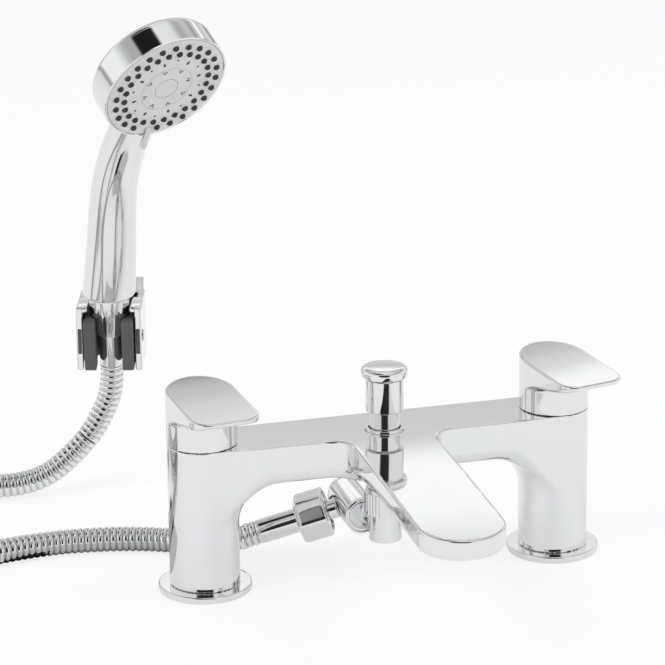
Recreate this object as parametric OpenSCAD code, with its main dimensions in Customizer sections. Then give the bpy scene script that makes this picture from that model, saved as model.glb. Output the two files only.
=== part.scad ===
// Deck-mounted bath shower mixer with two quarter-turn levers, a pull-up diverter, a fixed spout,
// a ribbed shower hose, a handset and the wall bracket that holds it.
// Frame: Z up from the deck, X along the bridge, the spout points to -Y; the origin is on the deck
// midway between the two columns.

/* [Columns and bridge] */
// distance between the two tap-hole centres
tap_centres = 180; // [150:1:210]
// diameter of each column
column_d = 34.6; // [32:0.1:40]
// height of the bridge's flat top above the deck
body_top = 76; // [70:0.5:90]
// depth of the bridge from front to back
bridge_depth = 33.6; // [30:0.1:34]
// thickness of the bridge at its middle
bridge_t = 21.3; // [19:0.1:26]
// radius of the arch between bridge and column
arch_r = 21; // [10:0.5:30]
// diameter of the cover flange at a column's foot
flange_d = 46; // [44:0.5:60]
// thickness of the cover flange
flange_t = 3.4; // [2.5:0.1:6]

/* [Deck fixing] */
// thickness of the deck that the tails pass through
deck_t = 20; // [10:1:40]
// outside diameter of a tail's thread
tail_d = 26.4; // [24:0.1:27]
// water bore of a tail
tail_bore = 18; // [14:0.5:20]
// length of a tail below the deck
tail_drop = 58; // [45:1:80]
// height of the thread inside a column
tail_grip = 23; // [15:1:30]
// thickness of the base seal under a flange
seal_t = 1.2; // [0.8:0.1:2]
// thickness of the fixing washer under the deck
washer_t = 2; // [1:0.1:4]
// diameter of the fixing washer
washer_d = 42; // [38:1:50]
// width of a backnut across its flats
backnut_af = 36; // [33:1:40]
// height of a backnut
backnut_h = 8; // [6:0.5:12]

/* [Spout] */
// reach of the spout from the columns' centre line to its tip
spout_reach = 152; // [120:1:170]
// width of the spout
spout_w = 42; // [36:0.5:50]
// fall of the spout's top from the bridge to the tip
spout_fall = 4.6; // [2:0.1:10]
// thickness of the spout at its tip
spout_tip_t = 10.2; // [9:0.1:14]
// height of the spout's upright side below its top edge
spout_side = 9; // [7:0.5:12]
// width of the spout's flat belly
spout_belly = 24; // [20:1:30]
// fillet where the spout leaves the bridge, seen from above
root_r = 12; // [6:0.5:16]

/* [Aerator] */
// diameter of the aerator housing
aerator_d = 18; // [16:0.5:20]
// height of the aerator housing
aerator_h = 7; // [5:0.5:8]
// diameter of the aerator insert
aerator_insert_d = 15; // [12:0.5:16]
// distance from the spout's tip to the aerator's axis
aerator_back = 19; // [16:0.5:30]

/* [Levers] */
// height of a lever's top above the column, at the back
lever_h = 28; // [24:0.5:34]
// height of a lever's top at its tip
lever_tip_h = 24.5; // [20:0.5:30]
// thickness of a lever at its tip
lever_tip_t = 4; // [3:0.5:8]
// height of a lever's round base below the paddle
lever_base_h = 14.5; // [10:0.5:18]
// reach of a lever from its turning axis
lever_reach = 40.5; // [34:0.5:60]
// corner radius of a lever's tip
lever_corner = 9.5; // [4:0.5:14]
// joint gap between a lever and its column
lever_gap = 0.5; // [0.3:0.1:1]
// turn of the hot lever from straight ahead
hot_turn = 7; // [-10:0.5:15]
// turn of the cold lever from straight ahead
cold_turn = 13; // [-10:0.5:15]

/* [Headworks] */
// diameter of a cartridge inside its column
cartridge_d = 20; // [18:0.5:22]
// length of a cartridge below the column's top
cartridge_l = 35; // [33:0.5:37]
// diameter of a ceramic disc
disc_d = 15; // [13:0.5:16]
// thickness of a ceramic disc
disc_t = 3; // [2:0.5:4]
// diameter of a spindle
spindle_d = 8; // [6:0.5:9]
// height of a spindle above the column's top
spindle_rise = 21; // [18:0.5:22]
// diameter of a lever's grub screw
grub_d = 5; // [4:0.5:6]
// diameter of the index plug over a grub screw
index_d = 6.4; // [6:0.1:8]

/* [Diverter] */
// distance of the diverter's axis in front of the columns' centre line
diverter_fwd = 8; // [4:0.5:10]
// diameter of the diverter knob's cap
knob_cap_d = 23; // [20:0.5:28]
// thickness of the cap
knob_cap_t = 5.5; // [4:0.5:8]
// diameter of the knob's upper sleeve
knob_sleeve_d = 19; // [18:0.5:22]
// height of the upper sleeve
knob_sleeve_h = 17; // [12:0.5:24]
// diameter of the knob's narrow lower sleeve
knob_stem_d = 15; // [13:0.5:16]
// height of the sleeve's lower edge above the collar's rim
knob_rise = 8.5; // [8:0.5:12]
// lift of the knob when it is pulled
knob_lift = 7.5; // [5:0.5:8]
// diameter of the collar around the knob
collar_d = 18.8; // [18:0.1:22]
// height of the collar's rim above the bridge's top
collar_rise = 1.5; // [1:0.1:4]
// depth of the collar's cup
collar_cup = 8.5; // [8:0.5:10]
// thickness of the collar's floor
collar_floor = 3; // [2.6:0.1:4]
// diameter of the diverter rod
rod_d = 6; // [5:0.5:7]
// diameter of the diverter's chamber
chamber_d = 13; // [11:0.5:14]
// thickness of the diverter's valve disc
valve_t = 3; // [2:0.5:4]

/* [Shower outlet] */
// diameter of the boss under the bridge
boss_d = 18; // [17:0.5:20]
// length of the boss below the bridge
boss_l = 8.7; // [6:0.1:10]
// diameter of the outlet's upright barrel
barrel_d = 16.5; // [15:0.5:18]
// lowest point of the outlet's upright barrel above the deck
barrel_low = 18.5; // [14:0.5:24]
// outside diameter of the knurled locknut
locknut_d = 21; // [19:0.5:24]
// height of the knurled locknut
locknut_h = 13; // [10:0.5:15]
// diameter of the lying valve housing
housing_d = 18.5; // [17:0.5:20]
// length of the lying valve housing
housing_l = 29; // [28:0.5:36]
// water bore of the valve housing
housing_bore = 13; // [11:0.5:14]
// height of the valve housing's axis above the deck
housing_z = 27.5; // [24:0.5:32]
// sideways distance of the valve housing's axis from the middle
housing_side = 8.5; // [7:0.5:10]

/* [Hose] */
// outside diameter of the hose over its ribs
hose_d = 12.5; // [10:0.5:14]
// bore of the hose
hose_bore = 8; // [6:0.5:9]
// distance from rib to rib
rib_pitch = 5; // [4:0.1:6]
// depth of the groove between two ribs
rib_depth = 0.6; // [0.4:0.1:1]
// thread diameter of the hose's outlet end
hose_thread_d = 20.6; // [19:0.1:21]
// width of the hose nut across its flats
hose_nut_af = 23; // [22.4:0.1:25]
// length of the hose nut
hose_nut_l = 16; // [14:0.5:18]
// diameter of a hose ferrule
ferrule_d = 12.4; // [11:0.1:14]
// length of the ferrule at the mixer
ferrule_l = 20; // [16:0.5:26]
// thickness of the tie round the coil
tie_t = 0.9; // [0.6:0.1:1.5]
// width of the tie
tie_w = 6; // [4:0.5:10]

/* [Wall bracket] */
// width of the bracket's fork
fork_w = 33.6; // [33:0.2:38]
// thickness of a fork cheek
cheek_t = 3.4; // [3:0.1:4]
// height of the fork above the cradle's pivot
fork_up = 18; // [16:0.5:18.5]
// height of the fork below the cradle's pivot
fork_down = 16; // [15:0.5:20]
// distance from the cradle's axis to the wall
wall_out = 45; // [40:0.5:60]
// width of the bracket's stem
stem_w = 27; // [22:0.5:30]
// outside diameter of the cradle
cradle_d = 25.6; // [25:0.2:26]
// height of the cradle above its pivot
cradle_up = 13; // [11:0.5:14]
// height of the cradle below its pivot
cradle_down = 14; // [13:0.5:15]
// width of the slot in the cradle's front
cradle_slot = 13.6; // [13:0.1:14.5]
// diameter of a pivot pin
pivot_d = 6; // [5:0.5:8]
// turn of the bracket about the upright
bracket_turn = -17; // [-30:1:30]
// lean of the cradle towards the front
cradle_lean = 8; // [0:0.5:14]

/* [Handset] */
// diameter of the hose's cone nut at its wide end
cone_d = 21; // [20:0.1:24]
// diameter of the cone nut at its narrow end
cone_low_d = 16; // [15:0.1:17]
// height of the cone nut's taper
cone_h = 14; // [10:0.5:18]
// height of the cone nut's upright rim
cone_rim = 8.3; // [6:0.1:10]
// diameter of the handle at its foot
handle_d = 28; // [24:0.5:34]
// diameter of the handle at its neck
neck_d = 21.5; // [18:0.5:26]
// diameter of the spray head
head_d = 65; // [64.5:0.5:76]
// depth of the spray head
head_t = 17; // [16:0.5:20]
// diameter of the spray face
face_d = 62; // [60:0.5:62.5]
// height of the spray face's middle above the cradle's pivot
head_up = 164; // [150:1:184]
// reach of the spray face's middle in front of the cone's axis
head_fwd = 73; // [66:1:80]
// downward tilt of the spray face
face_tilt = 25.5; // [18:0.5:32]
// height of the handle's bend above the cradle's pivot
bend_up = 99; // [85:1:110]
// reach of the handle's bend in front of the cone's axis
bend_fwd = 13.5; // [10:0.5:18]
// turn of the handset in its cradle
handset_turn = 32; // [0:1:60]
// turn of the spray dial's tab away from the handle
tab_turn = -10; // [-20:1:20]
// wall thickness of the handset shell
shell_t = 2.4; // [2:0.1:3]

/* [Fits] */
// radial gap of a screwed or pressed joint
screw_gap = 0.05; // [0.02:0.01:0.1]
// radial gap of a turning or sliding fit
run_gap = 0.06; // [0.03:0.01:0.1]
// free gap between moving pieces
free_gap = 0.4; // [0.3:0.05:0.6]

/* [Hidden] */
$fn = 64;

col_x = tap_centres / 2;
col_r = column_d / 2;
half_depth = bridge_depth / 2;
bridge_low = body_top - bridge_t;
half_w = spout_w / 2;
tip_y = half_w - spout_reach;
aer_y = aerator_back - spout_reach;
tip_top = body_top - spout_fall;
tip_low = tip_top - spout_tip_t;
aer_z = tip_low - 1.2;
tail_end_r = tail_d / 2;
tail_r = tail_end_r + 0.1;
relief_h = 1;
relief_in = 0.8;
tail_end_h = tail_drop - deck_t - washer_t - backnut_h - relief_h;
thread_top = flange_t + tail_grip;
cart_r = cartridge_d / 2;
cart_low = body_top - cartridge_l;
cart_head_r = cart_r + 3;
cart_head_h = 3;
cart_top = body_top + 10;
cart_wall = 2.3;
disc_r = disc_d / 2;
disc_top = cart_low + 2 * disc_t;
spindle_r = spindle_d / 2;
foot_h = 4;
bearing_low = disc_top + foot_h + 12;
lever_z = body_top + lever_gap;
lever_in_r = cart_head_r + 1.3;
lever_in_h = 11.5;
grub_z = lever_in_h + 4.5;
grub_in = spindle_r + run_gap;
index_l = 3;
div_y = -diverter_fwd;
rim_z = body_top + collar_rise;
cup_z = rim_z - max(collar_cup, knob_lift + 1);
collar_z = cup_z - collar_floor;
collar_r = collar_d / 2;
rod_r = rod_d / 2;
stem_r = knob_stem_d / 2;
knob_z = rim_z + knob_rise;
knob_top = knob_z + knob_sleeve_h + knob_cap_t;
stem_low = rim_z - knob_lift - 0.5;
ring_r = 0.9;
ring_z = collar_z + collar_floor / 2;
boss_low = bridge_low - boss_l;
spigot_h = 7;
seat_z = boss_low + spigot_h;
spigot_r = boss_d / 2 - 2;
chamber_r = chamber_d / 2;
way_r = 4;
way_z = seat_z + valve_t + way_r + 1;
spout_way_r = 2.6;
spout_way_z = tip_low + spout_tip_t / 2 - 0.6;
barrel_r = barrel_d / 2;
housing_r = housing_d / 2;
housing_y0 = 4.2;
valve_in = 7;
housing_y1 = housing_y0 + housing_l;
cross_r = 5.1;
hose_r = hose_d / 2;
nut_r = hose_nut_af / 2;
thread_r = hose_thread_d / 2;

// the hose leaves the valve housing along this line
hose_from = [-housing_side, 20.5, housing_z];
hose_pitch = 18;
hose_yaw = 163.8;
nut_s = housing_r + 3.6;
nut_end = nut_s + hose_nut_l;
ferrule_end = nut_end + ferrule_l;
function along(s) = hose_from + s * [cos(hose_pitch) * cos(hose_yaw), cos(hose_pitch) * sin(hose_yaw),
  -sin(hose_pitch)];

// the bracket's pivot, the cradle's lean and the handset's seat
bracket_at = [-105, 140, 87.7];
fork_in = fork_w / 2 - cheek_t;
fork_fwd = 10;
fork_wall = 4;
fork_back = cradle_d / 2 + 10;
plate_t = 5;
screw_l = 15;
screw_r = 1.6;
screw_z = [-8, 12];
cradle_r = cradle_d / 2;
cone_z = 2;
cone_top = cone_z + cone_h;
nut_top = cone_top + cone_rim;
cone_gap = 0.15;
ferrule_z = -16;
handle_z = nut_top + 0.4;
neck_end = 14;
room = 2 * head_up;
foot_t = 2.5;
neck_back = 13.4;
face_seat = 9.5;
thread38_r = 8.3;
function rx(p, a) = [p[0], p[1] * cos(a) - p[2] * sin(a), p[1] * sin(a) + p[2] * cos(a)];
function rz(p, a) = [p[0] * cos(a) - p[1] * sin(a), p[0] * sin(a) + p[1] * cos(a), p[2]];
function seat(p) = bracket_at + rz(rx(p, cradle_lean), bracket_turn);

// route of the hose: from the mixer's ferrule, over the coil, up to the handset's ferrule
deck_z = hose_r + tie_t + 0.15;
coil_c = [-290, 105];
coil_out = 76;
coil_step = 14.5;
coil_lift = 13.2;
coil_turns = 2.5;
run_pts = [along(ferrule_end), along(ferrule_end + hose_d / 2), along(ferrule_end + hose_d), [-78, 41.5,
  6.6], [-92, 48, 6.3], [-108, 55.5, 6.3],
  [-128, 61, 6.3], [-152, 63.5, 6.3], [-181, 60, 6.3], [-213, 50, 6.4], [-245, 38, 6.7],
  [-268, 31, 7.1], [coil_c[0], coil_c[1] - coil_out, deck_z]];
rise_pts = [[coil_c[0], coil_c[1] + coil_out, deck_z + coil_lift], [-266, 181, 17.6], [-242, 178, 11.5],
  [-217, 169, 7.8], [-190, 158.5, 6.8], [-165, 150.5, 6.8], [-149.1, 147.8, 8.6], [-136.5, 146.8, 13.7],
  [-123.6, 146.4, 24.1], [-113.8, 145.9, 35.6], [-106.6, 144.7, 50.1], [-104.6, 143.8, 58.9],
  seat([0, 0, ferrule_z - 4]), seat([0, 0, ferrule_z - 0.4])];
function ease(t) = t * t * (3 - 2 * t);
coil_in = coil_out - coil_step;
coil_dip = 1.5;
function coil_rad(t) = t < 1 ? coil_out - coil_step * t
  : t < 1.5 ? coil_in - coil_dip * sin((t - 1) * 360) : coil_in + coil_step * (t - 1.5);
function coil_z(t) = t < 1 ? deck_z : t < 1.5 ? deck_z + coil_lift * ease((t - 1) * 2) : deck_z + coil_lift;
function coil_pt(t) = [coil_c[0] + coil_rad(t) * cos(-90 - 360 * t),
  coil_c[1] + coil_rad(t) * sin(-90 - 360 * t), coil_z(t)];
coil_pts = [for (i = [0:60]) coil_pt(i * coil_turns / 60)];
function pick(p, i) = p[min(max(i, 0), len(p) - 1)];
function spline(p, i, t) = let (a = pick(p, i - 1), b = pick(p, i), c = pick(p, i + 1), d = pick(p, i + 2))
  0.5 * (2 * b + (c - a) * t + (2 * a - 5 * b + 4 * c - d) * t * t + (3 * b - a - 3 * c + d) * t * t * t);
function ribs(p, i) = max(1, round(norm(p[i + 1] - p[i]) / rib_pitch));
function line_of(p) = concat([for (i = [0:len(p) - 2]) for (j = [0:2 * ribs(p, i) - 1])
  spline(p, i, j / (2 * ribs(p, i)))], [p[len(p) - 1]]);
run_line = line_of(run_pts);
rise_line = line_of(rise_pts);
whole = concat(run_line, coil_pts, rise_line);
function length_of(p) = sum_of([for (i = [1:len(p) - 1]) norm(p[i] - p[i - 1])]);
function sum_of(v, i = 0) = i >= len(v) ? 0 : v[i] + sum_of(v, i + 1);
hose_length = length_of(run_line) + length_of(coil_pts) + length_of(rise_line);
function own_gap(p) = min([for (i = [0:len(p) - 1]) for (j = [i + 1:1:len(p) - 1])
  if (norm(p[i] - p[j]) > 0 && j - i > 12) norm(p[i] - p[j])]) - hose_d;
echo(hose_length = hose_length, least_gap = own_gap(whole));

function unit(v) = v / norm(v);
function tangent(p, i) = unit(pick(p, i + 1) - pick(p, i - 1));
function ring(p, i, r, n, up) = let (t = tangent(p, i), a = unit(cross(t, up)), b = cross(t, a))
  [for (k = [0:n - 1]) p[i] + r * (cos(360 * k / n) * a + sin(360 * k / n) * b)];
function quads(m, n, o, flip) = [for (i = [0:m - 2]) for (k = [0:n - 1]) let (a = o + i * n + k,
  b = o + i * n + (k + 1) % n, c = b + n, d = a + n) each flip ? [[a, d, b], [b, d, c]] : [[a, b, d], [b,
    c, d]]];

// a ribbed tube with its bore: wide and narrow rings in turn outside, even rings inside
module ribbed_tube(p, n, up) {
  m = len(p);
  outer = [for (i = [0:m - 1]) each ring(p, i, i % 2 == 0 ? hose_r - rib_depth : hose_r, n, up)];
  inner = [for (i = [0:m - 1]) each ring(p, i, hose_bore / 2, n, up)];
  o = m * n;
  ends = [for (k = [0:n - 1]) let (l = (k + 1) % n, e = (m - 1) * n)
    each [[k, o + k, l], [l, o + k, o + l], [e + k, e + l, o + e + k], [e + l, o + e + l, o + e + k]]];
  polyhedron(concat(outer, inner), concat(quads(m, n, 0, false), quads(m, n, o, true), ends));
}

// a plain tube without a bore along a line of points
module plain_tube(p, r, n, up) {
  m = len(p);
  e = (m - 1) * n;
  caps = [for (k = [1:n - 2]) each [[0, k + 1, k], [e, e + k, e + k + 1]]];
  polyhedron([for (i = [0:m - 1]) each ring(p, i, r, n, up)], concat(quads(m, n, 0, false), caps));
}

module hose_axis(s) {
  translate(along(s)) rotate([0, 0, hose_yaw]) rotate([0, 90 + hose_pitch, 0]) children();
}
module at_bracket() {
  translate(bracket_at) rotate([0, 0, bracket_turn]) children();
}
module at_cradle() {
  at_bracket() rotate([cradle_lean, 0, 0]) children();
}
module at_handset() {
  at_cradle() rotate([0, 0, handset_turn]) children();
}
module at_head() {
  at_handset() translate([0, -head_fwd, head_up]) rotate([90 + face_tilt, 0, 0]) children();
}
module tube(r, bore, h) {
  difference() {
    cylinder(r = r, h = h);
    translate([0, 0, -1]) cylinder(r = bore, h = h + 2);
  }
}

// outline of the bridge between the columns, seen from the front
module arch_2d() {
  open_w = tap_centres - column_d;
  difference() {
    translate([-col_x, bridge_low - arch_r]) square([tap_centres, bridge_t + arch_r]);
    translate([-open_w / 2 + arch_r, 0]) square([open_w - 2 * arch_r, bridge_low]);
    translate([-open_w / 2, 0]) square([open_w, bridge_low - arch_r]);
    for (s = [-1, 1]) translate([s * (open_w / 2 - arch_r), bridge_low - arch_r]) circle(r = arch_r);
  }
}

// the spout: its outline from above, from the side and across, cut against each other
module spout_solid() {
  intersection() {
    linear_extrude(height = body_top) union() {
      translate([-half_w, tip_y]) square([spout_w, -tip_y]);
      translate([0, tip_y]) circle(r = half_w);
    }
    rotate([90, 0, -90]) linear_extrude(height = spout_w, center = true) polygon([[0, bridge_low],
      [0, body_top], [half_depth, body_top], [spout_reach, tip_top], [spout_reach, tip_low],
      [spout_reach - 14, tip_low - 0.8], [60, bridge_low + 2.3], [30, bridge_low]]);
    rotate([90, 0, 0]) linear_extrude(height = spout_reach)
      polygon([[-half_w, body_top], [half_w, body_top],
      [half_w, tip_top - spout_side], [spout_belly / 2, bridge_low], [-spout_belly / 2, bridge_low],
      [-half_w, tip_top - spout_side]]);
  }
  for (s = [-1, 1]) translate([s * half_w, -half_depth, bridge_low + 3])
    linear_extrude(height = bridge_t - 3.5)
    difference() {
      translate([s > 0 ? -1 : -root_r, -root_r]) square([root_r + 1, root_r + 1]);
      translate([s * root_r, -root_r]) circle(r = root_r);
    }
}

module mixer_body() {
  color("silver") difference() {
    union() {
      for (s = [-1, 1]) translate([s * col_x, 0, flange_t]) cylinder(r = col_r, h = body_top - flange_t);
      rotate([90, 0, 0]) linear_extrude(height = bridge_depth, center = true) arch_2d();
      spout_solid();
      translate([0, div_y, boss_low]) cylinder(r = boss_d / 2, h = boss_l + 4);
    }
    for (s = [-1, 1]) translate([s * col_x, 0, 0]) {
      cylinder(r = tail_r + screw_gap, h = thread_top);
      cylinder(r = tail_bore / 2, h = cart_low);
      translate([0, 0, cart_low - 0.5]) cylinder(r = cart_r + screw_gap, h = cartridge_l + 2);
    }
    translate([-col_x, div_y, way_z]) rotate([0, 90, 0]) cylinder(r = way_r, h = tap_centres);
    translate([0, div_y, boss_low - 1]) cylinder(r = spigot_r + screw_gap, h = spigot_h + 1);
    translate([0, div_y, seat_z]) cylinder(r = chamber_r, h = collar_z - seat_z + 1);
    translate([0, div_y, collar_z]) cylinder(r = collar_r + screw_gap, h = 30);
    translate([0, div_y, spout_way_z]) rotate([90, 0, 0]) cylinder(r = spout_way_r, h = -aer_y + div_y);
    translate([0, aer_y, tip_low - 6])
      cylinder(r = aerator_d / 2 + screw_gap, h = aer_z - tip_low + 6 + aerator_h + 0.1);
  }
}

module flange(s) {
  color("silver") translate([s * col_x, 0, 0]) difference() {
    cylinder(r = flange_d / 2, h = flange_t);
    translate([0, 0, -1]) cylinder(r = tail_r + free_gap, h = flange_t + 2);
    translate([0, 0, -1]) cylinder(r = flange_d / 2 - 2, h = 1 + seal_t);
  }
}
module hot_flange() {
  flange(-1);
}
module cold_flange() {
  flange(1);
}
module base_seal(s) {
  color("dimgray") translate([s * col_x, 0, 0])
    tube(flange_d / 2 - 2 - screw_gap, tail_r + free_gap, seal_t);
}
module hot_base_seal() {
  base_seal(-1);
}
module cold_base_seal() {
  base_seal(1);
}
module tail(s) {
  color("goldenrod") translate([s * col_x, 0, -tail_drop]) {
    tube(tail_end_r, tail_bore / 2, tail_end_h);
    translate([0, 0, tail_end_h]) tube(tail_end_r - relief_in, tail_bore / 2, relief_h);
    translate([0, 0, tail_end_h + relief_h])
      tube(tail_r, tail_bore / 2, tail_drop + thread_top - tail_end_h - relief_h);
  }
}
module hot_tail() {
  tail(-1);
}
module cold_tail() {
  tail(1);
}
module fixing_washers() {
  color("whitesmoke") for (s = [-1, 1]) translate([s * col_x, 0, -deck_t - washer_t])
    tube(washer_d / 2, tail_r + free_gap, washer_t);
}
module backnuts() {
  color("goldenrod") for (s = [-1, 1]) translate([s * col_x, 0, -deck_t - washer_t - backnut_h])
    difference() {
    rotate([0, 0, 30]) cylinder(r = backnut_af / 2 / cos(30), h = backnut_h, $fn = 6);
    translate([0, 0, -1]) cylinder(r = tail_r + screw_gap, h = backnut_h + 2);
  }
}

module cartridge(s) {
  color("gold") translate([s * col_x, 0, 0]) difference() {
    union() {
      translate([0, 0, cart_low]) cylinder(r = cart_r, h = cartridge_l);
      translate([0, 0, body_top]) cylinder(r = cart_head_r, h = cart_head_h);
      translate([0, 0, body_top]) cylinder(r = cart_r - 2, h = cart_top - body_top);
    }
    translate([0, 0, cart_low - 1]) cylinder(r = cart_r - cart_wall, h = bearing_low - cart_low + 1);
    translate([0, 0, bearing_low - 1]) cylinder(r = spindle_r + run_gap, h = cart_top - bearing_low + 2);
    translate([-cart_r - 1, 0, way_z]) rotate([0, 90, 0]) cylinder(r = way_r - 1, h = cartridge_d + 2);
  }
}
module hot_cartridge() {
  cartridge(-1);
}
module cold_cartridge() {
  cartridge(1);
}
module fixed_disc(s) {
  color("white") translate([s * col_x, 0, cart_low]) difference() {
    cylinder(r = cart_r - cart_wall - screw_gap, h = disc_t);
    translate([disc_r / 2, 0, -1]) cylinder(r = disc_r / 3, h = disc_t + 2);
  }
}
module hot_fixed_disc() {
  fixed_disc(-1);
}
module cold_fixed_disc() {
  fixed_disc(1);
}
module moving_disc(s) {
  color("ivory") translate([s * col_x, 0, cart_low + disc_t + 0.05]) difference() {
    cylinder(r = cart_r - cart_wall - free_gap, h = disc_t - 0.05);
    translate([0, disc_r / 2, -1]) cylinder(r = disc_r / 3, h = disc_t + 2);
  }
}
module hot_moving_disc() {
  moving_disc(-1);
}
module cold_moving_disc() {
  moving_disc(1);
}
module spindle(s) {
  color("goldenrod") translate([s * col_x, 0, disc_top]) {
    cylinder(r = cart_r - cart_wall - free_gap, h = foot_h);
    cylinder(r = spindle_r, h = body_top + spindle_rise - disc_top);
  }
}
module hot_spindle() {
  spindle(-1);
}
module cold_spindle() {
  spindle(1);
}

// outline of a lever from above: round over the column, straight sides, rounded tip
module lever_2d() {
  circle(r = col_r);
  translate([-col_r, lever_corner - lever_reach]) square([column_d, lever_reach - lever_corner]);
  translate([lever_corner - col_r, -lever_reach]) square([column_d - 2 * lever_corner, lever_reach]);
  for (s = [-1, 1]) translate([s * (col_r - lever_corner), lever_corner - lever_reach])
    circle(r = lever_corner);
}
module lever(s, turn) {
  color("silver") translate([s * col_x, 0, lever_z]) rotate([0, 0, turn]) difference() {
    union() {
      cylinder(r = col_r, h = lever_base_h);
      intersection() {
        linear_extrude(height = lever_h) lever_2d();
        rotate([90, 0, -90]) linear_extrude(height = column_d + 2, center = true) polygon([[-col_r, 0],
          [col_r, lever_base_h], [lever_reach, lever_tip_h - lever_tip_t], [lever_reach, lever_tip_h],
          [-col_r, lever_h]]);
      }
    }
    translate([0, 0, -1]) cylinder(r = lever_in_r, h = lever_in_h + 1);
    cylinder(r = spindle_r + screw_gap, h = spindle_rise + 0.2);
    translate([0, 0, grub_z]) rotate([-90, 0, 0]) cylinder(r = grub_d / 2 + screw_gap, h = column_d);
    translate([0, col_r - index_l - 0.5, grub_z]) rotate([-90, 0, 0])
      cylinder(r = index_d / 2 + screw_gap, h = column_d);
  }
}
module hot_lever() {
  lever(-1, hot_turn);
}
module cold_lever() {
  lever(1, cold_turn);
}
module grub_screw(s, turn) {
  color("gray") translate([s * col_x, 0, lever_z + grub_z]) rotate([0, 0, turn]) translate([0, grub_in, 0])
    rotate([-90, 0, 0]) difference() {
      cylinder(r = grub_d / 2, h = col_r - index_l - 1.5 - grub_in);
      translate([0, 0, col_r - index_l - 4.5 - grub_in]) cylinder(r = grub_d / 4, h = 4, $fn = 6);
    }
}
module hot_grub_screw() {
  grub_screw(-1, hot_turn);
}
module cold_grub_screw() {
  grub_screw(1, cold_turn);
}
module index_plug(s, turn) {
  translate([s * col_x, 0, lever_z + grub_z]) rotate([0, 0, turn]) translate([0, col_r - index_l - 0.4, 0])
    rotate([-90, 0, 0]) cylinder(r = index_d / 2, h = index_l);
}
module hot_index() {
  color("red") index_plug(-1, hot_turn);
}
module cold_index() {
  color("blue") index_plug(1, cold_turn);
}

module aerator_housing() {
  color("silver") translate([0, aer_y, aer_z])
    tube(aerator_d / 2, aerator_insert_d / 2 + screw_gap, aerator_h);
}
module aerator_insert() {
  color("gainsboro") translate([0, aer_y, aer_z + 0.8]) difference() {
    cylinder(r = aerator_insert_d / 2, h = aerator_h - 1.4);
    for (a = [0:60:300]) rotate([0, 0, a]) translate([aerator_insert_d / 3.4, 0, -1])
      cylinder(r = 1.4, h = aerator_h);
    translate([0, 0, -1]) cylinder(r = 1.4, h = aerator_h);
  }
}

module diverter_collar() {
  color("silver") translate([0, div_y, 0]) difference() {
    translate([0, 0, collar_z]) cylinder(r = collar_r, h = rim_z - collar_z);
    translate([0, 0, cup_z]) cylinder(r = stem_r + free_gap, h = rim_z - cup_z + 1);
    translate([0, 0, collar_z - 1]) cylinder(r = rod_r + run_gap, h = collar_floor + 2);
    translate([0, 0, ring_z - ring_r - 0.05]) cylinder(r = rod_r + 2 * ring_r + 0.1, h = 2 * ring_r + 0.1);
  }
}
module diverter_o_ring() {
  color("black") translate([0, div_y, ring_z]) rotate_extrude() translate([rod_r + run_gap + ring_r, 0])
    circle(r = ring_r);
}
module diverter_knob() {
  color("silver") translate([0, div_y, 0]) difference() {
    union() {
      translate([0, 0, stem_low]) cylinder(r = stem_r, h = knob_z - stem_low + 1);
      translate([0, 0, knob_z]) cylinder(r = knob_sleeve_d / 2, h = knob_sleeve_h + 1);
      translate([0, 0, knob_z + knob_sleeve_h]) rotate_extrude() polygon([[0, 0], [knob_cap_d / 2 - 1.6, 0],
        [knob_cap_d / 2, 1.6], [knob_cap_d / 2, knob_cap_t - 2.4], [knob_cap_d / 2 - 1, knob_cap_t - 1],
        [knob_cap_d / 2 - 2.8, knob_cap_t - 0.2], [0, knob_cap_t]]);
    }
    translate([0, 0, stem_low - 1]) cylinder(r = rod_r + screw_gap, h = knob_top - stem_low - 8);
  }
}
module diverter_rod() {
  color("goldenrod") translate([0, div_y, seat_z + 0.2]) cylinder(r = rod_r, h = knob_top - 9.5 - seat_z);
}
module diverter_valve() {
  color("black") translate([0, div_y, seat_z + 0.2]) tube(chamber_r - free_gap, rod_r + screw_gap, valve_t);
}

module outlet_locknut() {
  teeth = 36;
  knurl = locknut_d / 2;
  color("silver") translate([0, div_y, boss_low - locknut_h]) difference() {
    union() {
      linear_extrude(height = locknut_h - 2) polygon([for (i = [0:2 * teeth - 1])
        (knurl - (i % 2) * 0.5) * [cos(180 * i / teeth), sin(180 * i / teeth)]]);
      cylinder(r = knurl - 0.8, h = locknut_h);
    }
    translate([0, 0, -1]) cylinder(r = barrel_r + screw_gap, h = locknut_h + 2);
  }
}
module outlet_elbow() {
  cross_fwd = housing_y0 + valve_in + 2;
  cross_len = norm([housing_side, diverter_fwd + cross_fwd]);
  cross_dir = atan2(diverter_fwd + cross_fwd, -housing_side);
  color("silver") difference() {
    union() {
      translate([0, div_y, barrel_low]) cylinder(r = barrel_r, h = boss_low - barrel_low);
      translate([0, div_y, boss_low - 1]) cylinder(r = spigot_r, h = spigot_h + 1);
      translate([-housing_side, housing_y0, housing_z]) rotate([-90, 0, 0])
        cylinder(r = housing_r, h = housing_l);
      translate([0, div_y, housing_z]) rotate([0, 0, cross_dir]) rotate([0, 90, 0])
        cylinder(r = cross_r, h = cross_len);
      translate([-housing_side, housing_y0 - 1.4, housing_z]) rotate([-90, 0, 0])
        tube(housing_r, housing_r - 3.4, 1.5);
      hose_axis(0) cylinder(r = 5, h = nut_s + 2);
      hose_axis(nut_s + 1) cylinder(r = thread_r, h = hose_nut_l - 8);
    }
    translate([0, div_y, barrel_low + 3]) cylinder(r = 4.5, h = boss_low + spigot_h);
    translate([0, div_y, housing_z]) rotate([0, 0, cross_dir]) rotate([0, 90, 0])
      cylinder(r = cross_r - 1.7, h = cross_len);
    translate([-housing_side, housing_y0 + valve_in, housing_z]) rotate([-90, 0, 0])
      cylinder(r = housing_bore / 2, h = housing_l);
    hose_axis(0) cylinder(r = 3.2, h = nut_end);
  }
}
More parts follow.
